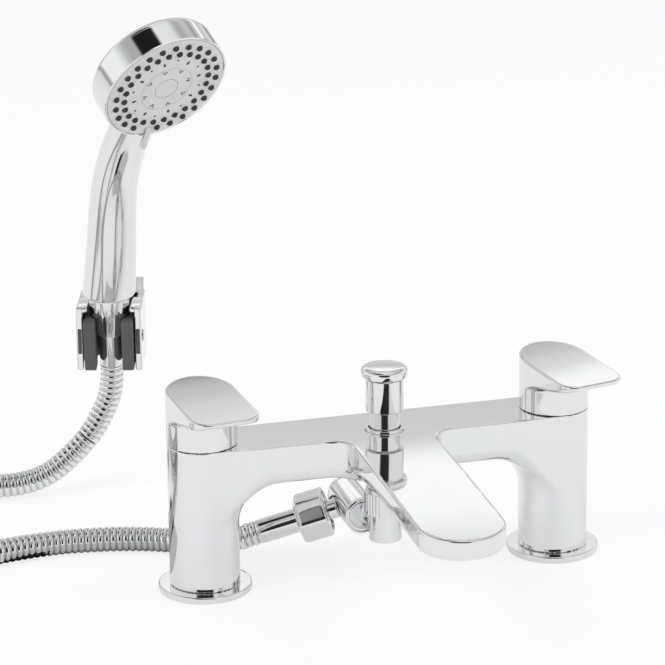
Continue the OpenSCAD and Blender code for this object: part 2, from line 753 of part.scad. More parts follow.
module check_valve() {
  color("white") translate([-housing_side, housing_y0 + valve_in + 0.2, housing_z]) rotate([-90, 0, 0])
    tube(housing_bore / 2 - screw_gap, 3, 5);
}
module elbow_cap() {
  color("silver") translate([-housing_side, housing_y1 - 4, housing_z]) rotate([-90, 0, 0]) {
    cylinder(r = housing_bore / 2 - screw_gap, h = 4.5);
    translate([0, 0, 4]) cylinder(r = housing_r, h = 2.5);
  }
}

module hose_nut() {
  color("silver") hose_axis(nut_s) difference() {
    intersection() {
      cylinder(r = nut_r / cos(30), h = hose_nut_l, $fn = 6);
      rotate_extrude() polygon([[0, 0], [nut_r, 0], [nut_r + 1.2, 1.2], [nut_r + 1.2, hose_nut_l - 4],
        [nut_r - 2, hose_nut_l], [0, hose_nut_l]]);
    }
    translate([0, 0, -1]) cylinder(r = thread_r + screw_gap, h = hose_nut_l - 3);
    cylinder(r = hose_r - 1, h = hose_nut_l + 1);
  }
}
module hose_washer() {
  color("black") hose_axis(nut_s + hose_nut_l - 6.6) tube(thread_r - 0.2, hose_bore / 2, 2);
}
module hose_ferrule() {
  color("silver") hose_axis(nut_end) {
    tube(ferrule_d / 2, hose_bore / 2, ferrule_l);
    translate([0, 0, -4.2]) tube(hose_r - 1.3, hose_bore / 2, 5);
  }
}
module hose_run() {
  color("silver") ribbed_tube(run_line, 8, [0, 0, 1]);
}
module hose_coil() {
  color("silver") plain_tube(coil_pts, hose_r, 6, [0, 0, 1]);
}
module hose_tie() {
  back = coil_in - coil_dip - hose_r - 0.4;
  front = coil_out - coil_step / 4 + hose_r + 0.4;
  color("black") translate([coil_c[0] - front - tie_t, coil_c[1] - tie_w / 2, 0.05]) difference() {
    cube([front - back + 2 * tie_t, tie_w, coil_lift + hose_d + 0.4 + 2 * tie_t]);
    translate([tie_t, -1, tie_t]) cube([front - back, tie_w + 2, coil_lift + hose_d + 0.4]);
  }
}
module handset_run() {
  color("silver") ribbed_tube(rise_line, 8, [0, 1, 0]);
}

module cone_ferrule() {
  color("silver") at_handset() {
    translate([0, 0, ferrule_z]) tube(ferrule_d / 2, hose_bore / 2, cone_z - ferrule_z - 0.3);
    translate([0, 0, cone_z - 1]) tube(hose_r - 1.3, hose_bore / 2, 8.5);
  }
}
module cone_nut() {
  color("silver") at_handset() difference() {
    rotate_extrude()
      polygon([[0, cone_z], [cone_low_d / 2, cone_z], [cone_d / 2, cone_top], [cone_d / 2, nut_top - 1],
      [cone_d / 2 - 0.6, nut_top], [0, nut_top]]);
    translate([0, 0, cone_z - 1]) cylinder(r = hose_r - 1, h = cone_h + 2);
    translate([0, 0, cone_z + 8]) cylinder(r = thread38_r + screw_gap, h = 40);
  }
}
module cone_washer() {
  color("black") at_handset() translate([0, 0, cone_z + 8.2]) tube(thread38_r - 0.2, hose_bore / 2, 2);
}
module inlet_spigot() {
  color("gainsboro") at_handset() difference() {
    union() {
      translate([0, 0, cone_z + 10.4]) cylinder(r = thread38_r, h = handle_z + foot_t - cone_z - 9);
      translate([0, 0, handle_z + foot_t + 0.05]) cylinder(r = thread38_r + 1.1, h = 8);
    }
    translate([0, 0, 0]) cylinder(r = 6, h = 60);
  }
}

// a round limb between two points of the handset's middle plane
module limb(a, b, r1, r2) {
  translate(a) rotate([atan2(a[1] - b[1], b[2] - a[2]), 0, 0]) cylinder(r1 = r1, r2 = r2, h = norm(b - a));
}
// the handle: a tapered grip, a rounded bend and a neck that runs up the back of the head
module handle_solid(cut) {
  bend = [0, -bend_fwd, bend_up];
  foot = [0, 2, handle_z - 10];
  neck = [0, -head_fwd, head_up] + neck_back * [0, cos(face_tilt), sin(face_tilt)]
    + neck_end * [0, sin(face_tilt), -cos(face_tilt)];
  neck_r = neck_d / 2 - cut;
  limb(foot, bend, handle_d / 2 - cut, neck_r + 0.2);
  translate(bend) sphere(r = neck_r + 0.6);
  limb(bend, neck, neck_r, neck_r);
  translate(neck) sphere(r = neck_r + 0.4);
}
module handset_shell() {
  hr = head_d / 2;
  color("silver") difference() {
    union() {
      at_handset() intersection() {
        handle_solid(0);
        translate([-room / 2, -room / 2, handle_z]) cube(room);
      }
      at_head() rotate_extrude()
        polygon([[0, 0], [hr - 0.8, 0], [hr, -1], [hr, -head_t + 5], [hr - 1.5, -head_t + 2],
        [hr - 5, -head_t], [0, -head_t]]);
    }
    at_handset() intersection() {
      handle_solid(shell_t);
      translate([-room / 2, -room / 2, handle_z + foot_t]) cube(room);
    }
    at_handset() translate([0, 0, handle_z - 1]) cylinder(r = thread38_r + screw_gap, h = foot_t + 2);
    at_head() translate([0, 0, -face_seat]) cylinder(r = face_d / 2 + free_gap, h = face_seat + 10);
    at_head() translate([0, 0, -head_t + shell_t + 2]) cylinder(r = face_d / 2 - 4, h = head_t);
  }
}
module distributor() {
  color("gray") at_head() translate([0, 0, 0.2 - face_seat]) difference() {
    cylinder(r = face_d / 2 - 0.3, h = 3);
    for (a = [0:60:300]) rotate([0, 0, a]) translate([face_d / 4, 0, -1]) cylinder(r = 3, h = 5);
    translate([0, 0, -1]) cylinder(r = 3 + run_gap, h = 5);
  }
}
outer_ring = face_d / 2 * 0.875;
inner_ring = face_d / 2 * 0.73;
nozzle_n = 24;
nozzle_r = 1.5;
module nozzle_places() {
  for (i = [0:nozzle_n - 1]) rotate([0, 0, i * 360 / nozzle_n]) translate([outer_ring, 0, 0]) children();
  for (i = [0:nozzle_n - 1]) rotate([0, 0, (i + 0.5) * 360 / nozzle_n]) translate([inner_ring, 0, 0])
    children();
}
module spray_face() {
  color("lightgray") at_head() difference() {
    union() {
      translate([0, 0, -5.8]) cylinder(r = face_d / 2, h = 6.2);
      rotate([0, 0, tab_turn]) translate([-1.9, -face_d / 2 - 8, 0.4]) cube([3.8, 13, 2.4]);
      translate([0, 0, -9.2]) cylinder(r = 3, h = 5);
    }
    nozzle_places() translate([0, 0, -7]) cylinder(r = nozzle_r + screw_gap, h = 12);
    for (i = [0:7]) rotate([0, 0, i * 45]) translate([face_d / 2 * 0.36, 0, -7]) cylinder(r = 1.1, h = 12);
    translate([0, 0, -1.4]) cylinder(r = 6 + screw_gap, h = 4);
  }
}
module spray_nozzles() {
  color("dimgray") at_head() nozzle_places() translate([0, 0, -4]) cylinder(r = nozzle_r, h = 5.4);
}
module face_cap() {
  color("silver") at_head() translate([0, 0, -1.3]) cylinder(r = 6, h = 2.2);
}

module bracket_fork() {
  h = fork_up + fork_down;
  color("silver") at_bracket() difference() {
    union() {
      translate([-fork_w / 2, -fork_fwd, -fork_down]) cube([fork_w, fork_fwd + fork_back, h]);
      translate([-stem_w / 2, fork_back - 3, -fork_down + 4])
        cube([stem_w, wall_out - plate_t - fork_back + 3, h - 4]);
    }
    translate([-fork_in, -fork_fwd - 1, -fork_down - 1])
      cube([2 * fork_in, fork_fwd + fork_back - fork_wall + 1, h + 2]);
    translate([-fork_w / 2 - 1, 0, 0]) rotate([0, 90, 0])
      cylinder(r = pivot_d / 2 + screw_gap, h = fork_w + 2);
    for (z = screw_z) translate([0, wall_out - screw_l - 0.5, z]) rotate([-90, 0, 0])
      cylinder(r = screw_r + screw_gap, h = 30);
  }
}
module wall_plate() {
  color("silver") at_bracket() difference() {
    translate([-stem_w / 2 - 1, wall_out - plate_t, -fork_down])
      cube([stem_w + 2, plate_t, fork_up + fork_down]);
    for (z = screw_z) translate([0, wall_out - plate_t - 1, z]) rotate([-90, 0, 0])
      cylinder(r = screw_r + screw_gap, h = plate_t + 2);
    for (z = screw_z) translate([0, wall_out - 1.5, z]) rotate([-90, 0, 0])
      cylinder(r = screw_r * 2, h = 3);
    for (x = [-8, 8]) translate([x, wall_out - plate_t - 1, 2]) rotate([-90, 0, 0])
      cylinder(r = 2.3, h = plate_t + 2);
  }
}
module cradle() {
  h = cradle_up + cradle_down;
  slope = (cone_d - cone_low_d) / 2 / cone_h;
  color("dimgray") at_cradle() difference() {
    union() {
      translate([0, 0, -cradle_down]) cylinder(r = cradle_r, h = h);
      for (s = [-1, 1]) translate([s * (fork_in - free_gap), 0, 0]) rotate([0, -s * 90, 0])
        cylinder(r = pivot_d / 2 + 2, h = 5);
    }
    translate([0, 0, -cradle_down - 1]) cylinder(r = cone_low_d / 2 + cone_gap, h = h);
    translate([0, 0, cone_z]) cylinder(r1 = cone_low_d / 2 + cone_gap,
      r2 = cone_low_d / 2 + cone_gap + 20 * slope, h = 20);
    translate([-cradle_slot / 2, -cradle_r - 1, -cradle_down - 1]) cube([cradle_slot, cradle_r + 1, h + 2]);
    for (s = [-1, 1]) translate([s * (fork_in - free_gap), 0, 0]) rotate([0, -s * 90, 0])
      translate([0, 0, -1]) cylinder(r = pivot_d / 2 + run_gap, h = 4);
  }
}
module pivot_pins() {
  color("gray") at_bracket() for (s = [-1, 1]) translate([s * (fork_w / 2 + 0.6), 0, 0])
    rotate([0, -s * 90, 0])
    cylinder(r = pivot_d / 2, h = cheek_t + 0.6 + free_gap + 2.6);
}
module wall_screws() {
  color("gray") at_bracket() for (z = screw_z) translate([0, wall_out - screw_l, z]) rotate([-90, 0, 0]) {
    cylinder(r = screw_r, h = screw_l - 0.3);
    translate([0, 0, screw_l - 1.4]) cylinder(r = screw_r * 2 - 0.1, h = 1.1);
  }
}

mixer_body();
hot_flange();
cold_flange();
hot_base_seal();
cold_base_seal();
hot_tail();
cold_tail();
fixing_washers();
backnuts();
hot_cartridge();
cold_cartridge();
hot_fixed_disc();
cold_fixed_disc();
hot_moving_disc();
cold_moving_disc();
hot_spindle();
cold_spindle();
hot_lever();
cold_lever();
hot_grub_screw();
cold_grub_screw();
hot_index();
cold_index();
aerator_housing();
aerator_insert();
diverter_collar();
diverter_o_ring();
diverter_knob();
diverter_rod();
diverter_valve();
outlet_locknut();
outlet_elbow();
check_valve();
elbow_cap();
hose_nut();
hose_washer();
hose_ferrule();
hose_run();
hose_coil();
hose_tie();
handset_run();
cone_ferrule();
cone_nut();
cone_washer();
inlet_spigot();
handset_shell();
distributor();
spray_face();
spray_nozzles();
face_cap();
bracket_fork();
wall_plate();
cradle();
pivot_pins();
wall_screws();
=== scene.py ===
import bpy, math
import numpy as np
from mathutils import Matrix, Vector


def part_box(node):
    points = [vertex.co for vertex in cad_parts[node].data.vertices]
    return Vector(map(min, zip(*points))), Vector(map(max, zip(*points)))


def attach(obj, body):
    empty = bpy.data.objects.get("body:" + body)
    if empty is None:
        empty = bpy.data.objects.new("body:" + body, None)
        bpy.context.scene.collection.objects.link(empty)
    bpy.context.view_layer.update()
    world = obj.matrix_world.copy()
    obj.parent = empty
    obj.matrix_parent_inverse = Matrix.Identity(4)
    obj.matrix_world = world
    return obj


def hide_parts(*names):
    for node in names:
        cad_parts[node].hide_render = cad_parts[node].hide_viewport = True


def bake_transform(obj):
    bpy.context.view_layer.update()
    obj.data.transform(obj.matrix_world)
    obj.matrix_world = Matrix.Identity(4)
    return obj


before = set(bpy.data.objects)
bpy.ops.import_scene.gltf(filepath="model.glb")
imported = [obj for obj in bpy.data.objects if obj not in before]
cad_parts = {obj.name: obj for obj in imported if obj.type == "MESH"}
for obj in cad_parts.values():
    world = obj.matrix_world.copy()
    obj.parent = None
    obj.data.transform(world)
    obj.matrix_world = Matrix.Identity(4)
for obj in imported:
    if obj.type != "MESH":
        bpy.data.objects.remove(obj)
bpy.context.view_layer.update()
bpy.ops.object.select_all(action="DESELECT")

# The camera stands a little to the left of the mixer and looks down on it through a long lens.
# The lens and place are those of a 665 x 665 picture with 3468 pixels of focal length.
camera = bpy.data.objects.new("camera", bpy.data.cameras.new("camera"))
bpy.context.scene.collection.objects.link(camera)
focal_pixels, picture_pixels = 3467.8, 665
camera_at = (-0.44703, -1.54183, 0.65560)
camera.data.sensor_width = 36
camera.data.lens = 36 * focal_pixels / picture_pixels
camera.data.clip_end = 20
turn, rise, tip = math.radians(-15.352), math.radians(18.346), math.radians(-0.628)
across = Vector((math.cos(turn), math.sin(turn), 0))
upward = Vector((-math.sin(turn) * math.sin(rise), math.cos(turn) * math.sin(rise), math.cos(rise)))
back = Vector((math.sin(turn) * math.cos(rise), -math.cos(turn) * math.cos(rise), math.sin(rise)))
across_t = math.cos(tip) * across + math.sin(tip) * upward
upward_t = -math.sin(tip) * across + math.cos(tip) * upward
camera.matrix_world = Matrix((
    (across_t.x, upward_t.x, back.x, camera_at[0]),
    (across_t.y, upward_t.y, back.y, camera_at[1]),
    (across_t.z, upward_t.z, back.z, camera_at[2]),
    (0, 0, 0, 1)))
bpy.context.scene.camera = camera

# Shower hose: 1.5 m of bright ribbed metal tube, 12.5 mm over its ribs. It is screwed to the mixer's outlet,
# lies on the deck, keeps its spare length in a tied coil and climbs to the cone of the handset.
hose_r, hose_bore_r, hose_sides = 6.25, 4.0, 20
rib_pitch, rib_depth = 3.3, 0.8
outlet_fall, outlet_turn = 18, 163.8
hose_from = np.array([-8.5, 20.5, 27.5])
fall_angle, turn_angle = math.radians(outlet_fall), math.radians(outlet_turn)
hose_dir = np.array([math.cos(fall_angle) * math.cos(turn_angle), math.cos(fall_angle) * math.sin(turn_angle),
                     -math.sin(fall_angle)])
coil_mid, coil_out, coil_step = np.array([-290.0, 105.0]), 76.0, 14.5
coil_turns, coil_lift, coil_dip, deck_z = 2.5, 13.2, 1.5, 7.3
bracket_at, bracket_turn, cradle_lean = np.array([-105.0, 140.0, 87.7]), -17, 8


def turned(p, lean, yaw):
    """A point of the cradle's own frame, leaned about X and then turned about Z."""
    x, y, z = p
    c, s = math.cos(math.radians(lean)), math.sin(math.radians(lean))
    y, z = y * c - z * s, y * s + z * c
    c, s = math.cos(math.radians(yaw)), math.sin(math.radians(yaw))
    return np.array([x * c - y * s, x * s + y * c, z])


def coil_point(t):
    """A point of the coil after t turns: inwards on the deck, up over itself, then outwards on top."""
    ease = min(max((t - 1) * 2, 0), 1)
    lift = coil_lift * ease * ease * (3 - 2 * ease)
    if t < 1:
        rad = coil_out - coil_step * t
    elif t < 1.5:
        rad = coil_out - coil_step - coil_dip * math.sin(math.radians((t - 1) * 360))
    else:
        rad = coil_out - coil_step + coil_step * (t - 1.5)
    a = math.radians(-90 - 360 * t)
    return [coil_mid[0] + rad * math.cos(a), coil_mid[1] + rad * math.sin(a), deck_z + lift]


def seat(z):
    """A point on the axis of the cone's seat in the cradle."""
    return list(bracket_at + turned((0, 0, z), cradle_lean, bracket_turn))


run_points = [list(hose_from + hose_dir * s) for s in (48.85, 55.1, 61.35)] + [
    [-78, 41.5, 6.6], [-92, 48, 6.3], [-108, 55.5, 6.3], [-128, 61, 6.3], [-152, 63.5, 6.3], [-181, 60, 6.3],
    [-213, 50, 6.4], [-245, 38, 6.7], [-268, 31, 7.1]]
coil_points = [coil_point(i * coil_turns / 60) for i in range(61)]
rise_points = [[-266, 181, 17.6], [-242, 178, 11.5], [-217, 169, 7.8], [-190, 158.5, 6.8], [-165, 150.5, 6.8],
               [-149.1, 147.8, 8.6], [-136.5, 146.8, 13.7], [-123.6, 146.4, 24.1], [-113.8, 145.9, 35.6],
               [-106.6, 144.7, 50.1], [-104.6, 143.8, 58.9], seat(-20), seat(-16.1)]


def smooth_line(points, gap):
    """Even points along a Catmull-Rom curve through the route."""
    p = np.array([points[0]] + points + [points[-1]], float)
    dense = []
    for i in range(1, len(p) - 2):
        a, b, c, d = p[i - 1:i + 3]
        for t in np.linspace(0, 1, 40, endpoint=False):
            dense.append(0.5 * (2 * b + (c - a) * t + (2 * a - 5 * b + 4 * c - d) * t * t
                                + (3 * b - a - 3 * c + d) * t ** 3))
    dense = np.array(dense + [p[-2]])
    run = np.concatenate([[0], np.cumsum(np.linalg.norm(np.diff(dense, axis=0), axis=1))])
    at = np.linspace(0, run[-1], int(round(run[-1] / gap)) + 1)
    return np.stack([np.interp(at, run, dense[:, k]) for k in range(3)], 1), at


hose_line, hose_at = smooth_line(run_points + coil_points + rise_points, 0.55)
hose_length = hose_at[-1]


def hose_piece(name, first, last):
    """The hose between two lengths along its line, ribbed, with a closed bore."""
    pick = (hose_at >= first - 1e-6) & (hose_at <= last + 1e-6)
    line, at = hose_line[pick], hose_at[pick]
    tan = np.gradient(line, axis=0)
    tan /= np.linalg.norm(tan, axis=1)[:, None]
    side = np.zeros_like(tan)
    side[0] = np.cross(tan[0], [0.3, 1.0, 0.2])
    side[0] /= np.linalg.norm(side[0])
    for i in range(1, len(tan)):
        s = side[i - 1] - tan[i] * (side[i - 1] @ tan[i])
        side[i] = s / np.linalg.norm(s)
    over = np.cross(tan, side)
    crest = np.abs(np.cos(math.pi * at / rib_pitch))
    sunk = (1 - crest) ** 1.6
    rad = hose_r - rib_depth * sunk
    n = hose_sides
    ang = np.linspace(0, 2 * math.pi, n, endpoint=False)
    round_about = np.cos(ang)[None, :, None] * side[:, None] + np.sin(ang)[None, :, None] * over[:, None]
    rings = line[:, None] + rad[:, None, None] * round_about
    inner = line[:, None] + hose_bore_r * round_about
    ends = [0, len(line) - 1]
    verts = np.concatenate([rings.reshape(-1, 3), inner[ends].reshape(-1, 3)]) / 1000
    m = len(line)
    i, k = np.meshgrid(np.arange(m - 1), np.arange(n), indexing="ij")
    a, b = i * n + k, i * n + (k + 1) % n
    faces = np.stack([a, b, b + n, a + n], -1).reshape(-1, 4).tolist()
    for k in range(n):
        l = (k + 1) % n
        faces.append([m * n + k, m * n + l, l, k])
        faces.append([m * n + n + l, m * n + n + k, (m - 1) * n + k, (m - 1) * n + l])
    mesh = bpy.data.meshes.new(name)
    mesh.from_pydata(verts.tolist(), [], faces)
    mesh.update()
    # The groove attribute is how deep each point sits between the ribs, and 1 on the end rings; the hose material
    # turns it into painted shade.
    groove = mesh.attributes.new("groove", "FLOAT", "POINT")
    depth = np.concatenate([np.repeat(sunk, n), np.ones(2 * n)])
    groove.data.foreach_set("value", depth.astype(np.float32))
    obj = bpy.data.objects.new(name, mesh)
    bpy.context.scene.collection.objects.link(obj)
    bpy.ops.object.select_all(action="DESELECT")
    obj.select_set(True)
    bpy.context.view_layer.objects.active = obj
    bpy.ops.object.mode_set(mode="EDIT")
    bpy.ops.mesh.select_all(action="SELECT")
    bpy.ops.mesh.normals_make_consistent(inside=False)
    bpy.ops.object.mode_set(mode="OBJECT")
    bpy.ops.object.shade_smooth()
    return obj, line / 1000


def shader_group(name, sockets):
    """An empty node group with (name, kind, INPUT or OUTPUT) sockets."""
    group = bpy.data.node_groups.new(name, "ShaderNodeTree")
    for label, kind, way in sockets:
        group.interface.new_socket(name=label, in_out=way, socket_type="NodeSocket" + kind)
    return group


# Plate wear is the faint smudging and polish marks that every plated surface carries.
plate_wear = shader_group("plate_wear", (("Tint", "Color", "INPUT"), ("Smudge", "Float", "INPUT"),
                                         ("Color", "Color", "OUTPUT"), ("Roughness", "Float", "OUTPUT")))
g = plate_wear.nodes
wear_in, wear_out = g.new("NodeGroupInput"), g.new("NodeGroupOutput")
wear_place = g.new("ShaderNodeTexCoord")
wear_noise = g.new("ShaderNodeTexNoise")
wear_noise.inputs["Scale"].default_value = 45
wear_noise.inputs["Detail"].default_value = 6
wear_mix = g.new("ShaderNodeMixRGB")
wear_mix.blend_type = "MULTIPLY"
wear_mix.inputs[0].default_value = 0.04
wear_level = g.new("ShaderNodeMath")
wear_level.operation = "MULTIPLY"
wear_add = g.new("ShaderNodeMath")
wear_add.operation = "ADD"
wear_add.inputs[1].default_value = 0.035
link = plate_wear.links.new
link(wear_place.outputs["Object"], wear_noise.inputs["Vector"])
link(wear_in.outputs["Tint"], wear_mix.inputs[1])
link(wear_noise.outputs["Color"], wear_mix.inputs[2])
link(wear_mix.outputs[0], wear_out.inputs["Color"])
link(wear_noise.outputs["Fac"], wear_level.inputs[0])
link(wear_in.outputs["Smudge"], wear_level.inputs[1])
link(wear_level.outputs[0], wear_add.inputs[0])
link(wear_add.outputs[0], wear_out.inputs["Roughness"])


def plated(name, tint, smudge):
    """A polished metal or plate of one tint, with plate wear."""
    mat = bpy.data.materials.new(name)
    mat.use_nodes = True
    nodes, links = mat.node_tree.nodes, mat.node_tree.links
    bsdf = nodes["Principled BSDF"]
    bsdf.inputs["Metallic"].default_value = 1.0
    wear = nodes.new("ShaderNodeGroup")
    wear.node_tree = plate_wear
    wear.inputs["Tint"].default_value = (*tint, 1)
    wear.inputs["Smudge"].default_value = smudge
    links.new(wear.outputs["Color"], bsdf.inputs["Base Color"])
    links.new(wear.outputs["Roughness"], bsdf.inputs["Roughness"])
    return mat


hose_metal = plated("hose_metal", (0.83, 0.84, 0.85), 0.10)
hose_nodes, hose_links = hose_metal.node_tree.nodes, hose_metal.node_tree.links
# Painted shade: the base colour is mixed towards dark grey by the groove attribute, so the grooves between the
# ribs and the end rings towards the bore are darker.
groove_in = hose_nodes.new("ShaderNodeAttribute")
groove_in.attribute_name = "groove"
groove_painted_shade = hose_nodes.new("ShaderNodeMixRGB")
groove_painted_shade.inputs[2].default_value = (0.36, 0.36, 0.37, 1)
wear_node = [n for n in hose_nodes if n.type == "GROUP"][0]
hose_links.new(wear_node.outputs["Color"], groove_painted_shade.inputs[1])
hose_links.new(groove_in.outputs["Fac"], groove_painted_shade.inputs[0])
hose_links.new(groove_painted_shade.outputs[0], hose_nodes["Principled BSDF"].inputs["Base Color"])

top_part, climb_part = 45.0, 115.0
lift_from = hose_length - top_part
climb_from = lift_from - climb_part
hose_low, low_line = hose_piece("hose_on_deck", 0, climb_from)
hose_climb, climb_line = hose_piece("hose_climb", climb_from, lift_from)
hose_top, top_line = hose_piece("hose_top", lift_from, hose_length)
for piece in (hose_low, hose_climb, hose_top):
    piece.data.materials.append(hose_metal)
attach(hose_low, "mixer")
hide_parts("hose_run", "hose_coil")
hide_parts("handset_run")
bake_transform(hose_climb)
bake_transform(hose_top)


# Mixer body: one brass casting, polished and chrome plated. Two round columns carry a bridge with arched
# undersides; the spout grows out of the bridge, falls a little to its round tip and has rounded lower edges.
def soft_union(a, b, r):
    """Two depth fields joined with a hollow fillet of radius r."""
    return np.maximum(r, np.minimum(a, b)) - np.hypot(np.maximum(r - a, 0), np.maximum(r - b, 0))


def soft_meet(a, b, r):
    """What two depth fields share, with the edge between them rounded to radius r."""
    return np.minimum(-r, np.maximum(a, b)) + np.hypot(np.maximum(r + a, 0), np.maximum(r + b, 0))


def cast_mesh(name, field, low, high, step, place=np.eye(4)):
    """The skin of a casting given as a depth field in mm: even faces, every point drawn onto the true surface."""
    axes = [np.arange(a, b + step, step) for a, b in zip(low, high)]
    val = field(*np.meshgrid(*axes, indexing="ij", sparse=True))
    inside = val < 0
    size = np.array(val.shape)
    cells, marks, quads = [], [], []
    for d in range(3):
        near, far = [slice(None)] * 3, [slice(None)] * 3
        near[d], far[d] = slice(0, -1), slice(1, None)
        at = np.argwhere(inside[tuple(near)] != inside[tuple(far)])
        ahead = np.eye(3, dtype=int)[d]
        va, vb = val[tuple(at.T)], val[tuple((at + ahead).T)]
        cut = at + (va / (va - vb))[:, None] * ahead
        ring = []
        for e, f in ((0, 0), (-1, 0), (-1, -1), (0, -1)):
            cell = at.copy()
            cell[:, (d + 1) % 3] += e
            cell[:, (d + 2) % 3] += f
            ring.append((cell[:, 0] * size[1] + cell[:, 1]) * size[2] + cell[:, 2])
            cells.append(ring[-1])
            marks.append(cut)
        quad = np.stack(ring, 1)
        back_first = va >= 0
        quad[back_first] = quad[back_first][:, ::-1]
        quads.append(quad)
    ids, which = np.unique(np.concatenate(cells), return_inverse=True)
    marks = np.concatenate(marks)
    count = np.bincount(which)
    pts = np.stack([np.bincount(which, marks[:, k]) / count for k in range(3)], 1) * step + np.array(low)

    def slope(p, h):
        return np.stack([field(*(p + h * e).T) - field(*(p - h * e).T) for e in np.eye(3)], 1) / (2 * h)

    for _ in range(5):
        g = slope(pts, 0.04)
        move = g * (field(*pts.T) / np.maximum((g * g).sum(1), 0.2))[:, None]
        pts -= np.clip(move, -0.6 * step, 0.6 * step)
    normal = slope(pts, 0.2)
    normal /= np.maximum(np.linalg.norm(normal, axis=1), 1e-9)[:, None]
    pts = pts @ place[:3, :3].T + place[:3, 3]
    normal = normal @ place[:3, :3].T
    mesh = bpy.data.meshes.new(name)
    mesh.from_pydata((pts / 1000).tolist(), [], np.searchsorted(ids, np.concatenate(quads)).tolist())
    mesh.update()
    mesh.polygons.foreach_set("use_smooth", np.ones(len(mesh.polygons), dtype=bool))
    mesh.normals_split_custom_set_from_vertices(normal.tolist())
    obj = bpy.data.objects.new(name, mesh)
    bpy.context.scene.collection.objects.link(obj)
    return obj


def eased(t):
    """A smooth step from 0 to 1."""
    t = np.clip(t, 0, 1)
    return t * t * (3 - 2 * t)


column_x, column_r, spout_r = 90, 17.3, 21
spout_root, spout_tip, body_top, body_foot = 20, 131, 76, 3.4
valve_y, aerator_y = -8, -133


def body_field(x, y, z):
    """The body's depth field: plan and underside first, then the falling top, the outlet's stub and the bores."""
    fwd = -y
    column = np.hypot(np.abs(x) - column_x, y) - column_r
    bridge = np.hypot(np.maximum(np.abs(x) - column_x, 0), y) - column_r
    spout = np.hypot(x, np.maximum(fwd - spout_tip, 0) + np.minimum(fwd - spout_root, 0)) - spout_r
    plan = soft_union(bridge, spout, 12.0)
    run = (np.hypot(fwd - spout_root, 14) + fwd - spout_root) / 265
    low = soft_union(column, 54.7 + 6.5 * run - z, 21.0)
    round_low = (7 + 5 * eased((fwd - 14) / 24) - 7.8 * eased((fwd - 60) / 92)) * eased(column / 14) + 0.02
    d = soft_meet(plan, low, round_low)
    fall = 132.5 * run
    top = body_top - 0.047 * (fall - 50 * (1 - np.exp(-fall / 50)))
    d = soft_meet(d, z - top, 0.12 + 1.0 * eased(column / 12))
    d = soft_meet(d, body_foot - z, 0.3)
    valve, tap = np.hypot(x, y - valve_y), np.hypot(np.abs(x) - column_x, y)
    stub = np.maximum(valve - 9, np.maximum(46 - z, z - 62))
    d = soft_union(d, stub, 3.0)
    for bore in (np.maximum(valve - 9.45, 66 - z),
                 np.maximum(valve - 6.5, np.maximum(45 - z, z - 67)),
                 np.maximum(tap - 10.05, 41 - z),
                 np.maximum(tap - 13.4, z - 26.4),
                 np.maximum(np.hypot(x, y - aerator_y) - 9.05, z - 67.1)):
        d = soft_meet(d, -bore, 0.3)
    return d


chrome = plated("chrome", (0.80, 0.805, 0.81), 0.03)
body = cast_mesh("mixer_casting", body_field, (-109, -154, 2), (109, 19, 78), 0.9)
body.data.materials.append(chrome)
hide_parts("mixer_body")
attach(body, "mixer")


# Cover flanges: flat turned brass rings, chrome plated, that hide the tap holes. Each lies loose round its tail
# and is pinched between column and deck.
def machined(node, width, finish, segments=3):
    """A CAD node as it stands, with its edges broken and its round faces smooth."""
    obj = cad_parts[node]
    obj.data.polygons.foreach_set("use_smooth", np.ones(len(obj.data.polygons), dtype=bool))
    weld = obj.modifiers.new("weld", "WELD")
    weld.merge_threshold = 2e-6
    flat = obj.modifiers.new("flat", "DECIMATE")
    flat.decimate_type = "DISSOLVE"
    flat.angle_limit = math.radians(0.3)
    edge = obj.modifiers.new("edge", "BEVEL")
    edge.width = width / 1000
    edge.segments = segments
    edge.limit_method = "ANGLE"
    edge.angle_limit = math.radians(30)
    edge.use_clamp_overlap = False
    even = obj.modifiers.new("even", "WEIGHTED_NORMAL")
    even.keep_sharp = True
    obj.data.materials.clear()
    obj.data.materials.append(finish)
    return obj


for node in ("hot_flange", "cold_flange"):
    machined(node, 0.7, chrome)


# Levers: die-cast, chrome plated. A round base the size of the column carries a flat paddle with rounded tip
# corners, its top falling to the front; a grub screw behind fixes each on its spindle.
lever_corner, lever_reach, lever_z = 9.5, 40.5, 76.5


def lever_field(x, y, z):
    """The lever's depth field: base and paddle, the step below it, the falling top, socket and index hole."""
    fwd = -y
    base = np.hypot(x, y) - column_r
    side, front = np.abs(x) - (column_r - lever_corner), fwd - (lever_reach - lever_corner)
    corner = np.hypot(np.maximum(side, 0), np.maximum(front, 0))
    paddle = corner + np.minimum(np.maximum(side, front), 0) - lever_corner
    plan = np.where(y > 0, base, paddle)
    under = 14.5 + np.clip((fwd - 12) / 28.5, 0, 1) ** 1.3 * 6
    low = soft_union(base, under - z, 3.0)
    d = soft_meet(plan, low, 1.8 * eased((fwd - 2) / 14) + 0.02)
    along = np.maximum(column_r + fwd, 0)
    top = 28.0 - 0.055 * along - 2.34 * (1 - np.exp(-along / 26))
    d = soft_meet(d, z - top, 0.9)
    d = soft_meet(d, -0.25 - z, 0.1)
    d = soft_meet(d, -np.maximum(np.hypot(x, y) - 14.3, z - 11.5), 0.3)
    d = soft_meet(d, -np.maximum(np.hypot(x, z - 16) - 3.25, 13.8 - y), 0.25)
    return d


def spun(axis, degrees):
    """A turn about one axis as a 4 x 4."""
    return np.array(Matrix.Rotation(math.radians(degrees), 4, axis))


def moved(x, y, z):
    """A shift in mm as a 4 x 4."""
    return np.array(Matrix.Translation((x, y, z)))


for name, x, angle in (("hot_lever", -column_x, 7), ("cold_lever", column_x, 13)):
    lever = cast_mesh(name + "_casting", lever_field, (-18.5, -42, -1), (18.5, 18.5, 29.5), 0.5,
                      moved(x, 0, lever_z) @ spun("Z", angle))
    lever.data.materials.append(chrome)
    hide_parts(name)
    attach(lever, name)


